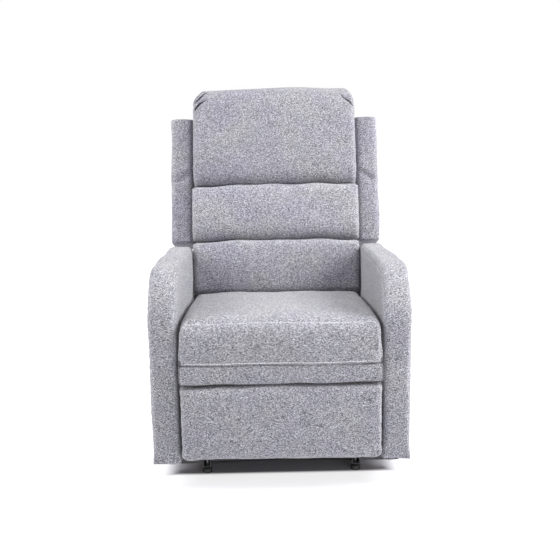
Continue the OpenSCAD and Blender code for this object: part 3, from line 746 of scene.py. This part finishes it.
headrest = loft(
    "headrest_pillow", head_path, head_under, -HEAD_HALF, HEAD_HALF, pillow_place, head_rise, (0.02, 0.02),
    step=0.0055, taper=head_taper, flare=True, fine_u=[head_side_at + k * 0.01 for k in range(7)],
    fine_v=[side * (HEAD_HALF - inner) for side in (-1, 1) for inner in (0.026, 0.037, 0.048)],
    edge_share=lambda u: 0.25 + 0.75 * np.clip((head_path.length - u) / 0.05, 0, 1),
)
inflate(headrest, pressure=4.0, cap=0.005, grow=0.02)

# Each tuck's line as seen from the front, the width of its painted shadow along the line, and its depth
TUCKS = [
    ([(-0.259, 1.032), (-0.253, 1.038), (-0.2465, 1.045), (-0.24, 1.052), (-0.231, 1.06),
      (-0.2235, 1.0655)], (0.0006, 0.0019, 0.0022, 0.002, 0.0013, 0.0004), 0.005),
    ([(-0.259, 1.0085), (-0.254, 1.0165), (-0.2475, 1.0248), (-0.24, 1.0318), (-0.23, 1.0373),
      (-0.2205, 1.0401)], (0.0022, 0.0038, 0.0042, 0.0026, 0.0012, 0.0004), 0.007),
    ([(0.259, 1.017), (0.255, 1.0235), (0.248, 1.031), (0.2383, 1.038), (0.23, 1.045),
      (0.2235, 1.053)], (0.0008, 0.0022, 0.0028, 0.0016, 0.0008, 0.0003), 0.006),
]
TUCK_WIDTH = 0.0042


def tuck_run(line, widths, count=25):
    """Even stations along a tuck as seen from the front, with its width at each."""
    line = np.array(line)
    s = run_length(line)
    at = np.linspace(0, s[-1], count)
    return [(np.interp(k, s, line[:, 0]), np.interp(k, s, line[:, 1]), np.interp(k, s, widths)) for k in at]


def tuck_hits(tree, line, widths):
    """Where a tuck lies on the front of a skin: the place, the normal and its width at each station."""
    run = tuck_run(line, widths)
    hits = [(*tree.ray_cast(Vector((x, -1, z)), Vector((0, 1, 0)))[:2], wide) for x, z, wide in run]
    return [hit for hit in hits if hit[0] is not None]


def carve_tucks(obj, tree):
    """Presses each tuck into the skin, and lifts a small roll of cloth above it."""
    co = coordinates(obj)
    shift = np.zeros_like(co)
    for line, widths, depth in TUCKS:
        hits = tuck_hits(tree, line, widths)
        places, normals = (np.array([np.array(hit[k]) for hit in hits]) for k in (0, 1))
        apart = np.linalg.norm(co[:, None, :] - places[None], axis=2)
        nearest = apart.argmin(axis=1)
        reach = apart[np.arange(len(co)), nearest]
        above = np.sign((co - places[nearest])[:, 2]) * reach
        share = np.sin(np.pi * np.clip(nearest / (len(hits) - 1), 0.12, 0.9)) ** 0.5
        press = depth * share * bell(reach, TUCK_WIDTH)
        roll = 0.0022 * share * bell(above - 0.0075, 0.004) * (above > 0)
        shift += normals[nearest] * (roll - press)[:, None]
    set_coordinates(obj, co + shift)


def tuck_shadow_tongues(name, tree, body):
    """Painted shadow in each tuck's opening: a thin, closed, dark tongue lying in its groove."""
    verts, faces, sides = [], [], 8
    for line, widths, _ in TUCKS:
        hits = tuck_hits(tree, line, widths)
        base = len(verts)
        for k, (at, normal, wide) in enumerate(hits):
            ahead = hits[min(k + 1, len(hits) - 1)][0] - hits[max(k - 1, 0)][0]
            across = ahead.cross(normal).normalized()
            for angle in circle(sides):
                proud = 0.0008 * math.sin(angle) + 0.0002
                verts.append(at + across * (wide * math.cos(angle)) + normal * proud)
        faces += tube_faces(base, len(hits), sides)
    finish_piece(mesh_object(name, verts, faces, TUCK_PAINTED_SHADOW), body, smooth=False)


carve_tucks(headrest, surface(headrest))
finish_piece(headrest, "back", ["headrest_cushion"], fabric=HEADREST_SHADED_FABRIC)
# A dark tongue of painted shadow lies in each tuck.
tuck_shadow_tongues("headrest_tuck_shadows", surface(headrest), "back")

# ---------- wings and rear of the back ----------

WING_ROOT = PANEL_HALF + 0.0015


def wing(name, node, sign, seed):
    """A firm side block with a flat front, a creased inner edge, and seams down its outer corners."""
    rear = BACK_T
    corners = [
        (WING_ROOT, rear), (0.285, rear), (0.315, rear), (WING_OUT - 0.012, rear - 0.0005),
        (WING_OUT - 0.001, rear - 0.01), (WING_OUT, rear - 0.035), (WING_OUT, 0.07), (WING_OUT, 0.026),
        (WING_OUT - 0.002, 0.006), (WING_OUT - 0.012, -0.001), (0.312, -0.002), (WING_IN + 0.01, -0.001),
        (WING_IN, 0.004), (WING_IN - 0.004, 0.012), (WING_ROOT, 0.024),
    ]
    path = Path(corners)
    front_seam, rear_seam = (path.nearest((WING_OUT - 0.002, t)) for t in (0.008, rear - 0.008))

    def under(u, at, normal):
        t = np.interp(u, [0, path.length], [rear - 0.004, 0.03])
        return np.stack([np.full_like(u, WING_ROOT - 0.0005), t], axis=1)

    def rise(u, v, e):
        face = on_face(e, 0.004)
        lift = 0.0013 * ripple(seed, u, v, 0.15) * face
        lift += pucker(e, u, seed + 1, 0.0012, 0.015, 0.028)
        lift += (groove(u - front_seam, 0.002, 0.0024) + groove(u - rear_seam, 0.002, 0.0024)) * face
        front = bell(u - path.length + 0.055, 0.032) * face
        crease = (v - 0.005) - 0.55 * (u - path.length + 0.055)
        lift -= 0.005 * front * bell(crease, 0.011)
        return lift + 0.0032 * front * bell(crease - 0.026, 0.016)

    obj = loft(
        name, path, under, WING_LOW, WING_HIGH, lambda s, x, t: back_place(sign * x, t, s), rise,
        (0.009, 0.008), walls=5, arcs=5, fine_u=[front_seam, rear_seam],
    )
    finish_piece(obj, "back", [node], fabric=BACK_SHADED_FABRIC)


wing("wing_pad_left", "wing_left", 1, 41)
wing("wing_pad_right", "wing_right", -1, 47)

# The outside back wraps round the frame's sides, between and below the wings.
rear = BACK_T
panel_path = Path(
    [(-PANEL_HALF, 0.016), (-PANEL_HALF, 0.07), (-PANEL_HALF, rear - 0.02),
     (-PANEL_HALF + 0.004, rear - 0.005), (-PANEL_HALF + 0.018, rear), (-0.12, rear + 0.0005),
     (0.0, rear + 0.001), (0.12, rear + 0.0005), (PANEL_HALF - 0.018, rear),
     (PANEL_HALF - 0.004, rear - 0.005), (PANEL_HALF, rear - 0.02), (PANEL_HALF, 0.07), (PANEL_HALF, 0.016)]
)


def panel_rise(u, v, e):
    lift = 0.0011 * ripple(53, u, v, 0.22) - 0.001
    return lift + pucker(e, u, 54, 0.0011, 0.03, 0.034)


outside_back = loft(
    "outside_back_panel", panel_path, shell(0.008), PANEL_LOW, PANEL_HIGH,
    lambda s, x, t: back_place(x, t, s), panel_rise, (0.005, 0.005), walls=1, arcs=4,
)
finish_piece(outside_back, "back", ["back_rear_panel"])

# ---------- seat ----------


def straight(x, y, z):
    return np.stack(np.broadcast_arrays(x, y, z), -1)


SEAT_PAD = SEAT_HALF - 0.001
SEAT_SEAM = 0.352
seat_front, seat_rear = seat_lo[1], seat_hi[1]
seat_path = Path(
    [(seat_front + 0.01, SEAT_SEAM), (seat_front + 0.001, SEAT_SEAM + 0.003), (seat_front - 0.0015, 0.372),
     (seat_front - 0.002, 0.405), (seat_front + 0.001, 0.436), (seat_front + 0.01, 0.4545),
     (seat_front + 0.03, 0.464), (-0.385, 0.466), (-0.33, 0.4655), (-0.25, 0.461), (-0.1, 0.448),
     (0.02, 0.4345), (0.062, 0.428), (0.081, 0.418), (0.0865, 0.4), (0.0865, 0.376)]
)
SEAT_UNDER = [
    (0.0, seat_front + 0.016, 0.3545), (0.02, seat_front + 0.016, 0.372), (0.12, seat_front + 0.04, 0.3725),
]
seat_edge = seat_path.nearest((seat_front + 0.02, 0.4605))


def seat_under(u, at, normal):
    key = [row[0] for row in SEAT_UNDER] + [seat_path.length]
    y = [row[1] for row in SEAT_UNDER] + [seat_rear - 0.006]
    z = [row[2] for row in SEAT_UNDER] + [0.3725]
    return np.stack([np.interp(u, key, y), np.interp(u, key, z)], axis=1)


def seat_rise(u, v, e):
    end = np.minimum(u, seat_path.length - u)
    top = 1 / (1 + np.exp(-(u - 0.15) / 0.02))
    face = on_face(e, 0.005)
    lift = (0.0025 + 0.006 * top) * dome(v, SEAT_PAD) * face
    lift += 0.0013 * ripple(61, u, v, 0.17) * face
    lift += pucker(e, u, 62, 0.0022, 0.018, 0.034)
    lift += pucker(end, v, 63, 0.001, 0.016, 0.03) * face
    lift += groove(e + 0.003, 0.0022, 0.003)
    line = u - seat_edge - 0.0014 * ripple(64, v, 0 * v, 0.3)
    return lift + groove(line, 0.002, 0.0026) * face


seat = loft(
    "seat_cushion", seat_path, seat_under, -SEAT_PAD, SEAT_PAD, straight, seat_rise, (0.015, 0.015),
    fine_u=[seat_edge],
)
inflate(seat, pressure=4.0, cap=0.006, grow=0.03)
rest_between(seat, ARM_IN - REST_GAP)
finish_piece(seat, "seat", ["seat_cover", "seat_foam"])

band_path = Path(
    [(front_lo[1] + 0.016, front_lo[2] + 0.001), (front_lo[1] + 0.004, front_lo[2] + 0.003),
     (front_lo[1], front_lo[2] + 0.012), (front_lo[1] + 0.0005, 0.33),
     (front_lo[1] + 0.001, SEAT_SEAM - 0.004), (front_lo[1] + 0.005, SEAT_SEAM - 0.0008),
     (front_lo[1] + 0.016, SEAT_SEAM - 0.0005)]
)


def band_rise(u, v, e):
    lift = 0.0012 * dome(v, SEAT_PAD) + 0.0009 * ripple(71, u, v, 0.12)
    return lift + pucker(band_path.length - u, v, 72, 0.0009, 0.014, 0.024)


def band_under(u, at, normal):
    return np.stack([np.full_like(u, front_hi[1] - 0.001), np.clip(at[:, 1], 0.303, 0.35)], axis=1)


front_band = loft(
    "seat_front_band", band_path, band_under, -SEAT_PAD, SEAT_PAD, straight, band_rise, (0.008, 0.008),
    arcs=4, walls=2,
)
finish_piece(front_band, "seat", ["seat_front_panel"])


def seat_border(name, sign, seed):
    """The seat's fabric border, drawn down over the outside of the wooden side rail."""
    low, high = front_lo[2] + 0.002, SEAT_SEAM + 0.018
    path = Path(
        [(0.268, high), (0.2684, high - 0.02), (0.2682, low + 0.02), (0.2675, low + 0.002), (0.2655, low)]
    )

    def rise(u, v, e):
        return 0.0008 * ripple(seed, u, v, 0.14) + pucker(u, v, seed + 1, 0.0006, 0.016, 0.03)

    obj = loft(
        name, path, shell(0.0012), seat_front + 0.004, seat_rear - 0.01,
        lambda y, x, z: straight(sign * x, y, z), rise, (0.0006, 0.0006), walls=1, arcs=3,
    )
    finish_piece(obj, "seat")


for side, sign in (("left", 1), ("right", -1)):
    seat_border(f"seat_border_{side}", sign, 131)

# ---------- footrest ----------

FOOT_HALF = foot_hi[0] - 0.001
foot_low, foot_top, foot_face, foot_back = foot_lo[2], foot_hi[2], foot_lo[1], foot_hi[1]
board_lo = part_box("footrest_board")[0]
foot_path = Path(
    [(foot_back - 0.001, foot_low + 0.001), (foot_back - 0.03, foot_low + 0.0005),
     (foot_face + 0.014, foot_low + 0.003), (foot_face + 0.003, foot_low + 0.014),
     (foot_face - 0.001, foot_low + 0.045), (foot_face - 0.0035, 0.195),
     (foot_face - 0.002, foot_top - 0.045), (foot_face, foot_top - 0.014),
     (foot_face + 0.0065, foot_top - 0.005), (foot_face + 0.022, foot_top - 0.0025),
     (foot_back - 0.001, foot_top - 0.002)]
)


def foot_under(u, at, normal):
    end = foot_path.length
    low = np.interp(u, [0, 0.016, 0.05, end - 0.05, end - 0.016, end], [0, 0, 1, 1, 0, 0])
    y = foot_back - 0.001 + (board_lo[1] - 0.0005 - foot_back + 0.001) * low
    y = np.where(low <= 0, at[:, 0], y)
    z = np.clip(at[:, 1], foot_low + 0.0035, foot_top - 0.0035)
    return np.stack([y, z], axis=1)


def foot_taper(at):
    """Rounded lower corners, and smaller upper ones."""
    share = np.zeros(len(at))
    for r, height in ((0.021, at[:, 1] - foot_low), (0.009, foot_top - at[:, 1])):
        h = np.clip(height, 0, r)
        share = share + r - np.sqrt(r * r - (r - h) ** 2)
    return 1 - share / FOOT_HALF


def foot_rise(u, v, e):
    face = on_face(e, 0.004)
    lift = 0.002 * dome(v, FOOT_HALF) * face
    lift += 0.0013 * ripple(81, u, v, 0.16) * face
    lift += pucker(e, u, 82, 0.0016, 0.016, 0.034)
    lift += pucker(u - 0.08, v, 83, 0.0012, 0.014, 0.03) * face
    lift += pucker(u - (foot_path.length - 0.08), v, 84, 0.0013, 0.016, 0.034) * face
    for side in (-1, 1):
        corner = np.hypot(u - 0.085, v - side * (FOOT_HALF - 0.02))
        fold = (u - 0.085) - (v * side - FOOT_HALF + 0.02) * 0.9
        lift += 0.0022 * bell(corner, 0.055) * np.sin(fold / 0.0062) * face
    return lift


footrest = loft(
    "footrest_pad", foot_path, foot_under, -FOOT_HALF, FOOT_HALF, straight, foot_rise, (0.011, 0.011),
    taper=foot_taper, walls=3,
)
inflate(footrest, pressure=3.0, cap=0.003, grow=0.02)
finish_piece(footrest, "footrest", ["footrest_cover", "footrest_foam"])

# ---------- arms ----------

ARM_R = 0.14
ARM_FALL_FROM = -0.2
ARM_DROP = 0.022
SEAM_IN = 0.0205


def arm_top_at(y, inset):
    """Height of the arm's top edge along its length, the inset below the real one."""
    r = ARM_R - inset
    front = np.clip(ARM_FRONT + ARM_R - y, 0, r)
    arc = ARM_TOP - ARM_R + np.sqrt(r**2 - front**2)
    return arc - ARM_DROP * np.clip((y - ARM_FALL_FROM) / (ARM_REAR - ARM_FALL_FROM), 0, 1)


def arm_panel(name, node, sign, face, outward, crown, seed, hole=None):
    """A flat side of the arm, padded, with its edge rolled in to the seam. hole is (y0, y1, z0, z1)."""
    inset, low = SEAM_IN - 0.001, ARM_LOW + 0.0005
    start, end = ARM_FRONT + inset, ARM_REAR - inset
    marks_y = [] if hole is None else [hole[0] - start, hole[1] - start]
    y = start + stations(end - start, 0.008, marks_y)
    ends = [0.0, 0.002, 0.006, 0.012, 0.02], [0.98, 0.988, 0.994, 0.998, 1.0]
    f = np.concatenate([ends[0], np.linspace(0.032, 0.968, 58), ends[1]])
    Y, F = np.meshgrid(y, f, indexing="ij")
    top = arm_top_at(Y, inset)
    Z = low + F * (top - low)
    cells = None
    if hole is not None:
        for level in hole[2:]:
            row = np.argmin(np.abs(Z[Y.shape[0] // 2] - level))
            pull = bell(F - f[row], 0.02) * (np.abs(Y - (hole[0] + hole[1]) / 2) < 0.12)
            Z = Z + (level - Z[:, row][:, None]) * pull
        middle = (Y[:-1, :-1] + Y[1:, 1:]) / 2, (Z[:-1, :-1] + Z[1:, 1:]) / 2
        cells = (middle[0] > hole[0]) & (middle[0] < hole[1]) & (middle[1] > hole[2]) & (middle[1] < hole[3])
    centre = (ARM_FRONT + ARM_R, ARM_TOP - ARM_R)
    radial = ARM_R - inset - np.hypot(Y - centre[0], Z - centre[1])
    in_arc = (Y < centre[0]) & (Z > centre[1])
    edge = np.minimum.reduce([Y - start, end - Y, top - Z])
    edge = np.clip(np.where(in_arc, np.minimum(edge, radial), edge), 0, None)
    edge_low = np.minimum(edge, Z - low)
    rise = shoulder(edge, 0.006, 0.003) + shoulder(Z - low, 0.008, 0.006)
    rise += crown * (1 - np.exp(-edge_low / 0.06))
    rise += 0.0011 * ripple(seed, Y, Z, 0.18) * (1 - np.exp(-edge_low / 0.03))
    along = np.arctan2(Z - 0.3, Y + 0.13) * 0.35
    rise += pucker(edge, along, seed + 1, 0.001, 0.014, 0.03)
    if hole is not None:
        rim = 0.006
        over = [hole[0] - rim - Y, Y - hole[1] - rim, hole[2] - rim - Z, Z - hole[3] - rim]
        reach = np.maximum.reduce(over)
        rise -= (0.005 + np.maximum(rise, 0)) * (1 - np.clip(reach / 0.004, 0, 1) ** 2)
    base = face - outward * 0.0095
    skins = (np.stack([sign * x * np.ones_like(Y), Y, Z], axis=-1) for x in (face + outward * rise, base))
    obj = closed_pad(name, *skins, hole=cells)
    finish_piece(obj, "base", [node])


def arm_band(name, node, sign, seed):
    """The padded strip that runs up the arm's front and over its top, rounded over on to both sides."""
    angles = np.radians([0, 12, 24, 36, 48, 60, 72, 84])
    arc = [(ARM_FRONT + ARM_R * (1 - math.cos(a)), ARM_TOP - ARM_R * (1 - math.sin(a))) for a in angles]
    rear_top = ARM_TOP - ARM_DROP
    path = Path(
        [(ARM_FRONT + 0.045, ARM_LOW), (ARM_FRONT + 0.016, ARM_LOW), (ARM_FRONT + 0.004, ARM_LOW + 0.004),
         (ARM_FRONT, ARM_LOW + 0.016), (ARM_FRONT, ARM_LOW + 0.12), (ARM_FRONT, ARM_LOW + 0.26)]
        + arc
        + [(-0.27, ARM_TOP), (-0.2, ARM_TOP - 0.001), (-0.08, ARM_TOP - 0.007), (0.06, ARM_TOP - 0.0152),
           (ARM_REAR - 0.03, rear_top + 0.0015), (ARM_REAR - 0.008, rear_top - 0.006),
           (ARM_REAR, rear_top - 0.024), (ARM_REAR, 0.4), (ARM_REAR, 0.2), (ARM_REAR, ARM_LOW + 0.016),
           (ARM_REAR - 0.004, ARM_LOW + 0.004), (ARM_REAR - 0.016, ARM_LOW), (ARM_REAR - 0.045, ARM_LOW)]
    )

    def rise(u, v, e):
        face = on_face(e, 0.004)
        lift = 0.0014 * ripple(seed, u, v, 0.14)
        lift += pucker(e + 0.012, u, seed + 1, 0.001, 0.01, 0.028)
        middle = u - 0.045 - (0.3 - ARM_LOW)
        for k, (offset, slope) in enumerate(((-0.03, 0.25), (0.012, -0.18), (0.055, 0.3))):
            fold = middle - offset - slope * v
            lift -= 0.0009 * face * bell(fold, 0.006) * (0.5 + 0.5 * np.cos(v * 40 + k))
        return lift - 0.0012 * (1 - face)

    obj = loft(
        name, path, shell(SEAM_IN), ARM_IN, ARM_OUT - 0.0022, lambda x, y, z: straight(sign * x, y, z), rise,
        (0.02, 0.0175), step=0.0065, walls=1, arcs=8,
        edge_share=lambda u: 0.22 + 0.78 * np.clip((np.minimum(u, path.length - u) - 0.045) / 0.06, 0, 1),
    )
    finish_piece(obj, "base", [node])


bezel_lo, bezel_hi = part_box("release_bezel")
FLANGE, CLEAR = 0.009, 0.003
cup_hole = [at for k in (1, 2) for at in (bezel_lo[k] + FLANGE - CLEAR, bezel_hi[k] - FLANGE + CLEAR)]
for side, sign, seed, hole in (("left", 1, 91, None), ("right", -1, 101, cup_hole)):
    arm_band(f"arm_band_pad_{side}", f"arm_band_{side}", sign, seed)
    arm_panel(f"arm_inner_pad_{side}", f"arm_inner_panel_{side}", sign, ARM_IN, -1, 0.0008, seed + 3)
    arm_panel(
        f"arm_outer_pad_{side}", f"arm_outer_panel_{side}", sign, ARM_OUT - 0.0026, 1, 0.0015, seed + 6, hole,
    )

# ---------- rear skirt ----------

skirt_path = Path(
    [(skirt_lo[1] + 0.002, skirt_hi[2] - 0.001), (skirt_hi[1] - 0.002, skirt_hi[2] - 0.003),
     (skirt_hi[1], skirt_hi[2] - 0.015), (skirt_hi[1] + 0.001, 0.16), (skirt_hi[1], skirt_lo[2] + 0.015),
     (skirt_hi[1] - 0.002, skirt_lo[2] + 0.003), (skirt_lo[1] + 0.002, skirt_lo[2] + 0.001)]
)
skirt = loft(
    "rear_skirt_pad", skirt_path, shell(0.003), -skirt_hi[0] + 0.001, skirt_hi[0] - 0.001, straight,
    lambda u, v, e: 0.001 * ripple(111, u, v, 0.18), (0.002, 0.002), walls=1, arcs=3,
)
finish_piece(skirt, "base", ["rear_skirt"])

# ---------- stitching ----------

x_run = np.linspace(-SEAT_PAD + 0.014, SEAT_PAD - 0.014, 80)
edge_at = seat_path.at(np.array([seat_edge]))[0][0]
edge_line = [(x, edge_at[0], edge_at[1] + 0.004) for x in x_run]
seam_line = [(x, seat_front - 0.002, SEAT_SEAM + 0.006) for x in x_run]
stitches("seat_edge_stitch", surface(seat), edge_line, "seat", radius=0.00045)
stitches("seat_seam_stitch", surface(seat), seam_line, "seat", length=0.0075, gap=0.0008, radius=0.00095)

# ---------- springs ----------

# The hook is on the seat's frame and the stud on the footrest's linkage.
HOOK_Y, HOOK_Z = -0.37, 0.346
STUD_Y, STUD_Z = -0.2275, 0.2844
SPRING_X, COIL_R, WIRE_R, LOOP_R = 0.216, 0.00625, 0.00125, 0.005


def spring(name, x):
    """A coil spring between its hook and its stud, with a straight tail and a loop at each end."""
    start, end = Vector((x, HOOK_Y, HOOK_Z)), Vector((x, STUD_Y, STUD_Z))
    axis = (end - start).normalized()
    first = Vector((1, 0, 0))
    second = axis.cross(first)
    length = (end - start).length
    turns, per_turn, sides = 26, 14, 6
    body_from, body_to = 0.016, length - 0.016
    gap = axis * 0.001
    line = []
    for k in range(8):
        a = math.pi * (1 - k / 8)
        rise = axis * (LOOP_R - LOOP_R * math.cos(math.pi - a))
        line.append(start + rise + first * LOOP_R * math.sin(a) + gap)
    for k in range(turns * per_turn + 1):
        f = k / (turns * per_turn)
        a = 2 * math.pi * turns * f
        r = COIL_R * min(1.0, 0.25 + 10 * f, 0.25 + 10 * (1 - f))
        round_it = (first * math.cos(a) + second * math.sin(a)) * r
        line.append(start + axis * (body_from + (body_to - body_from) * f) + round_it)
    for k in range(8):
        a = math.pi * k / 8
        line.append(end - axis * (0.011 - LOOP_R * (1 - math.cos(a))) + first * LOOP_R * math.sin(a))
    verts = []
    for k, point in enumerate(line):
        ahead = (line[min(k + 1, len(line) - 1)] - line[max(k - 1, 0)]).normalized()
        flat = ahead.cross(axis if abs(ahead.dot(axis)) < 0.95 else first).normalized()
        other = ahead.cross(flat)
        for a in circle(sides):
            verts.append(point + (flat * math.cos(a) + other * math.sin(a)) * WIRE_R)
    obj = mesh_object(name, verts, tube_faces(0, len(line), sides), ZINC)
    finish_piece(obj, "seat", smooth=False)
    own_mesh(obj)
    return obj


left_spring = spring("assist_spring_left", SPRING_X)
spring("assist_spring_right", -SPRING_X)
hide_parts("assist_springs")

# ---------- fabric between the seat and the back ----------

FLAP_HALF = 0.269
flap_line = Path(
    [(0.08, 0.394), (0.092, 0.404), (0.104, 0.398), (0.115, 0.396), (0.125, 0.405), (0.1305, 0.418),
     (0.136, 0.434)]
)
flap = loft(
    "seat_back_flap", flap_line, shell(0.0014), -FLAP_HALF, FLAP_HALF, straight,
    lambda u, v, e: 0.0012 * ripple(121, u, v, 0.09), (0.0007, 0.0007), walls=1, arcs=3, step=0.006,
)
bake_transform(flap)

# ---------- studio ----------


def camera():
    """At the photograph's viewing angle: just above the back's height, slightly to the left, looking down."""
    pitch, yaw, roll = (math.radians(a) for a in (-11.4254, 0.9336, -0.8308))
    ahead = Vector((math.sin(yaw) * math.cos(pitch), math.cos(yaw) * math.cos(pitch), math.sin(pitch)))
    right = Vector((math.cos(yaw), -math.sin(yaw), 0))
    up = right.cross(ahead)
    across = right * math.cos(roll) + up * math.sin(roll)
    upward = up * math.cos(roll) - right * math.sin(roll)
    data = bpy.data.cameras.new("camera")
    data.lens = 53.81
    obj = bpy.data.objects.new("camera", data)
    bpy.context.scene.collection.objects.link(obj)
    turn = Matrix((across, upward, -ahead)).transposed().to_4x4()
    obj.matrix_world = Matrix.Translation((-0.0333, -2.545, 1.0041)) @ turn
    bpy.context.scene.camera = obj


def area_light(name, at, size, power, target=(0.0, 0.0, 0.5)):
    data = bpy.data.lights.new(name, "AREA")
    data.size, data.energy = size, power
    obj = bpy.data.objects.new(name, data)
    bpy.context.scene.collection.objects.link(obj)
    obj.location = at
    obj.rotation_euler = (Vector(target) - Vector(at)).to_track_quat("-Z", "Y").to_euler()


def floor_with_painted_glow():
    """Grey paper that glows white by emission, painted light that also lights the chair, everywhere but a
    patch under the chair, where the glow fades out to a painted shadow.
    """
    n = Nodes("floor_with_painted_glow")
    at = n.position()
    split = n.add("ShaderNodeSeparateXYZ", {0: at})
    from_middle = n.math("ABSOLUTE", split.outputs[0])
    aside = n.math("DIVIDE", n.math("SUBTRACT", from_middle, PAINTED_SHADOW_HALF), PAINTED_SHADOW_FADE[0])
    ahead = n.math("DIVIDE", n.math("SUBTRACT", PAINTED_SHADOW_FRONT, split.outputs[1]), PAINTED_SHADOW_FADE[1])
    behind = n.math("DIVIDE", n.math("SUBTRACT", split.outputs[1], PAINTED_SHADOW_REAR), PAINTED_SHADOW_FADE[0])
    outside = n.math("MAXIMUM", n.math("MAXIMUM", aside, ahead), behind)
    away = n.add("ShaderNodeVectorMath", {0: at}, operation="LENGTH").outputs["Value"]
    near = n.map_range(outside, 0.0, 1.0, FLOOR_PAINTED_GLOW[0])
    far = n.map_range(away, 0.8, 2.2, FLOOR_PAINTED_GLOW[1] - FLOOR_PAINTED_GLOW[0])
    # Painted light and shadow: the emission makes the floor white and fades to nothing in the patch under the
    # chair.
    return n.set(
        Base_Color=(*FLOOR_WHITE, 1.0), Roughness=0.9, Specular_IOR_Level=0.0,
        Emission_Color=(1.0, 1.0, 1.0, 1.0), Emission_Strength=n.math("ADD", near, far),
    )


def studio_backdrop():
    n = Nodes("studio_backdrop")
    return n.set(
        Base_Color=(0.0, 0.0, 0.0, 1.0), Roughness=1.0, Specular_IOR_Level=0.0,
        Emission_Color=(1.0, 1.0, 1.0, 1.0), Emission_Strength=1.0,
    )


# How strongly the floor glows near and far, painted light, its own colour, and the patch under the chair
# where the glow fades out, a painted shadow
FLOOR_PAINTED_GLOW, FLOOR_WHITE = (0.78, 0.97), (0.3, 0.3, 0.33)
PAINTED_SHADOW_HALF, PAINTED_SHADOW_FRONT, PAINTED_SHADOW_REAR, PAINTED_SHADOW_FADE = 0.285, -0.318, 0.12, (0.06, 0.022)
WORLD_LIGHT = 0.4


def studio():
    bpy.ops.mesh.primitive_plane_add(size=30)
    floor = bpy.context.object
    floor.name = "floor"
    floor.data.materials.append(floor_with_painted_glow())
    bpy.ops.mesh.primitive_uv_sphere_add(radius=14, segments=48, ring_count=24)
    backdrop = bpy.context.object
    backdrop.name = "backdrop"
    backdrop.data.materials.append(studio_backdrop())
    backdrop.visible_diffuse = backdrop.visible_glossy = backdrop.visible_shadow = False
    backdrop.visible_transmission = False
    world = bpy.data.worlds.new("studio")
    world.use_nodes = True
    world.node_tree.nodes["Background"].inputs["Color"].default_value = (1.0, 1.0, 1.0, 1.0)
    world.node_tree.nodes["Background"].inputs["Strength"].default_value = WORLD_LIGHT
    bpy.context.scene.world = world
    area_light("top_softbox", (0.3, -0.7, 6.5), 2.4, 130, target=(0.0, -0.1, 0.5))
    area_light("right_softbox", (2.6, -0.5, 2.2), 1.5, 162)
    area_light("left_softbox", (-2.6, -0.5, 2.2), 1.5, 106)
    area_light("front_softbox", (0.9, -2.3, 0.6), 1.0, 15, target=(0.0, -0.3, 0.35))
    bpy.context.scene.view_settings.view_transform = "Standard"


camera()
studio()
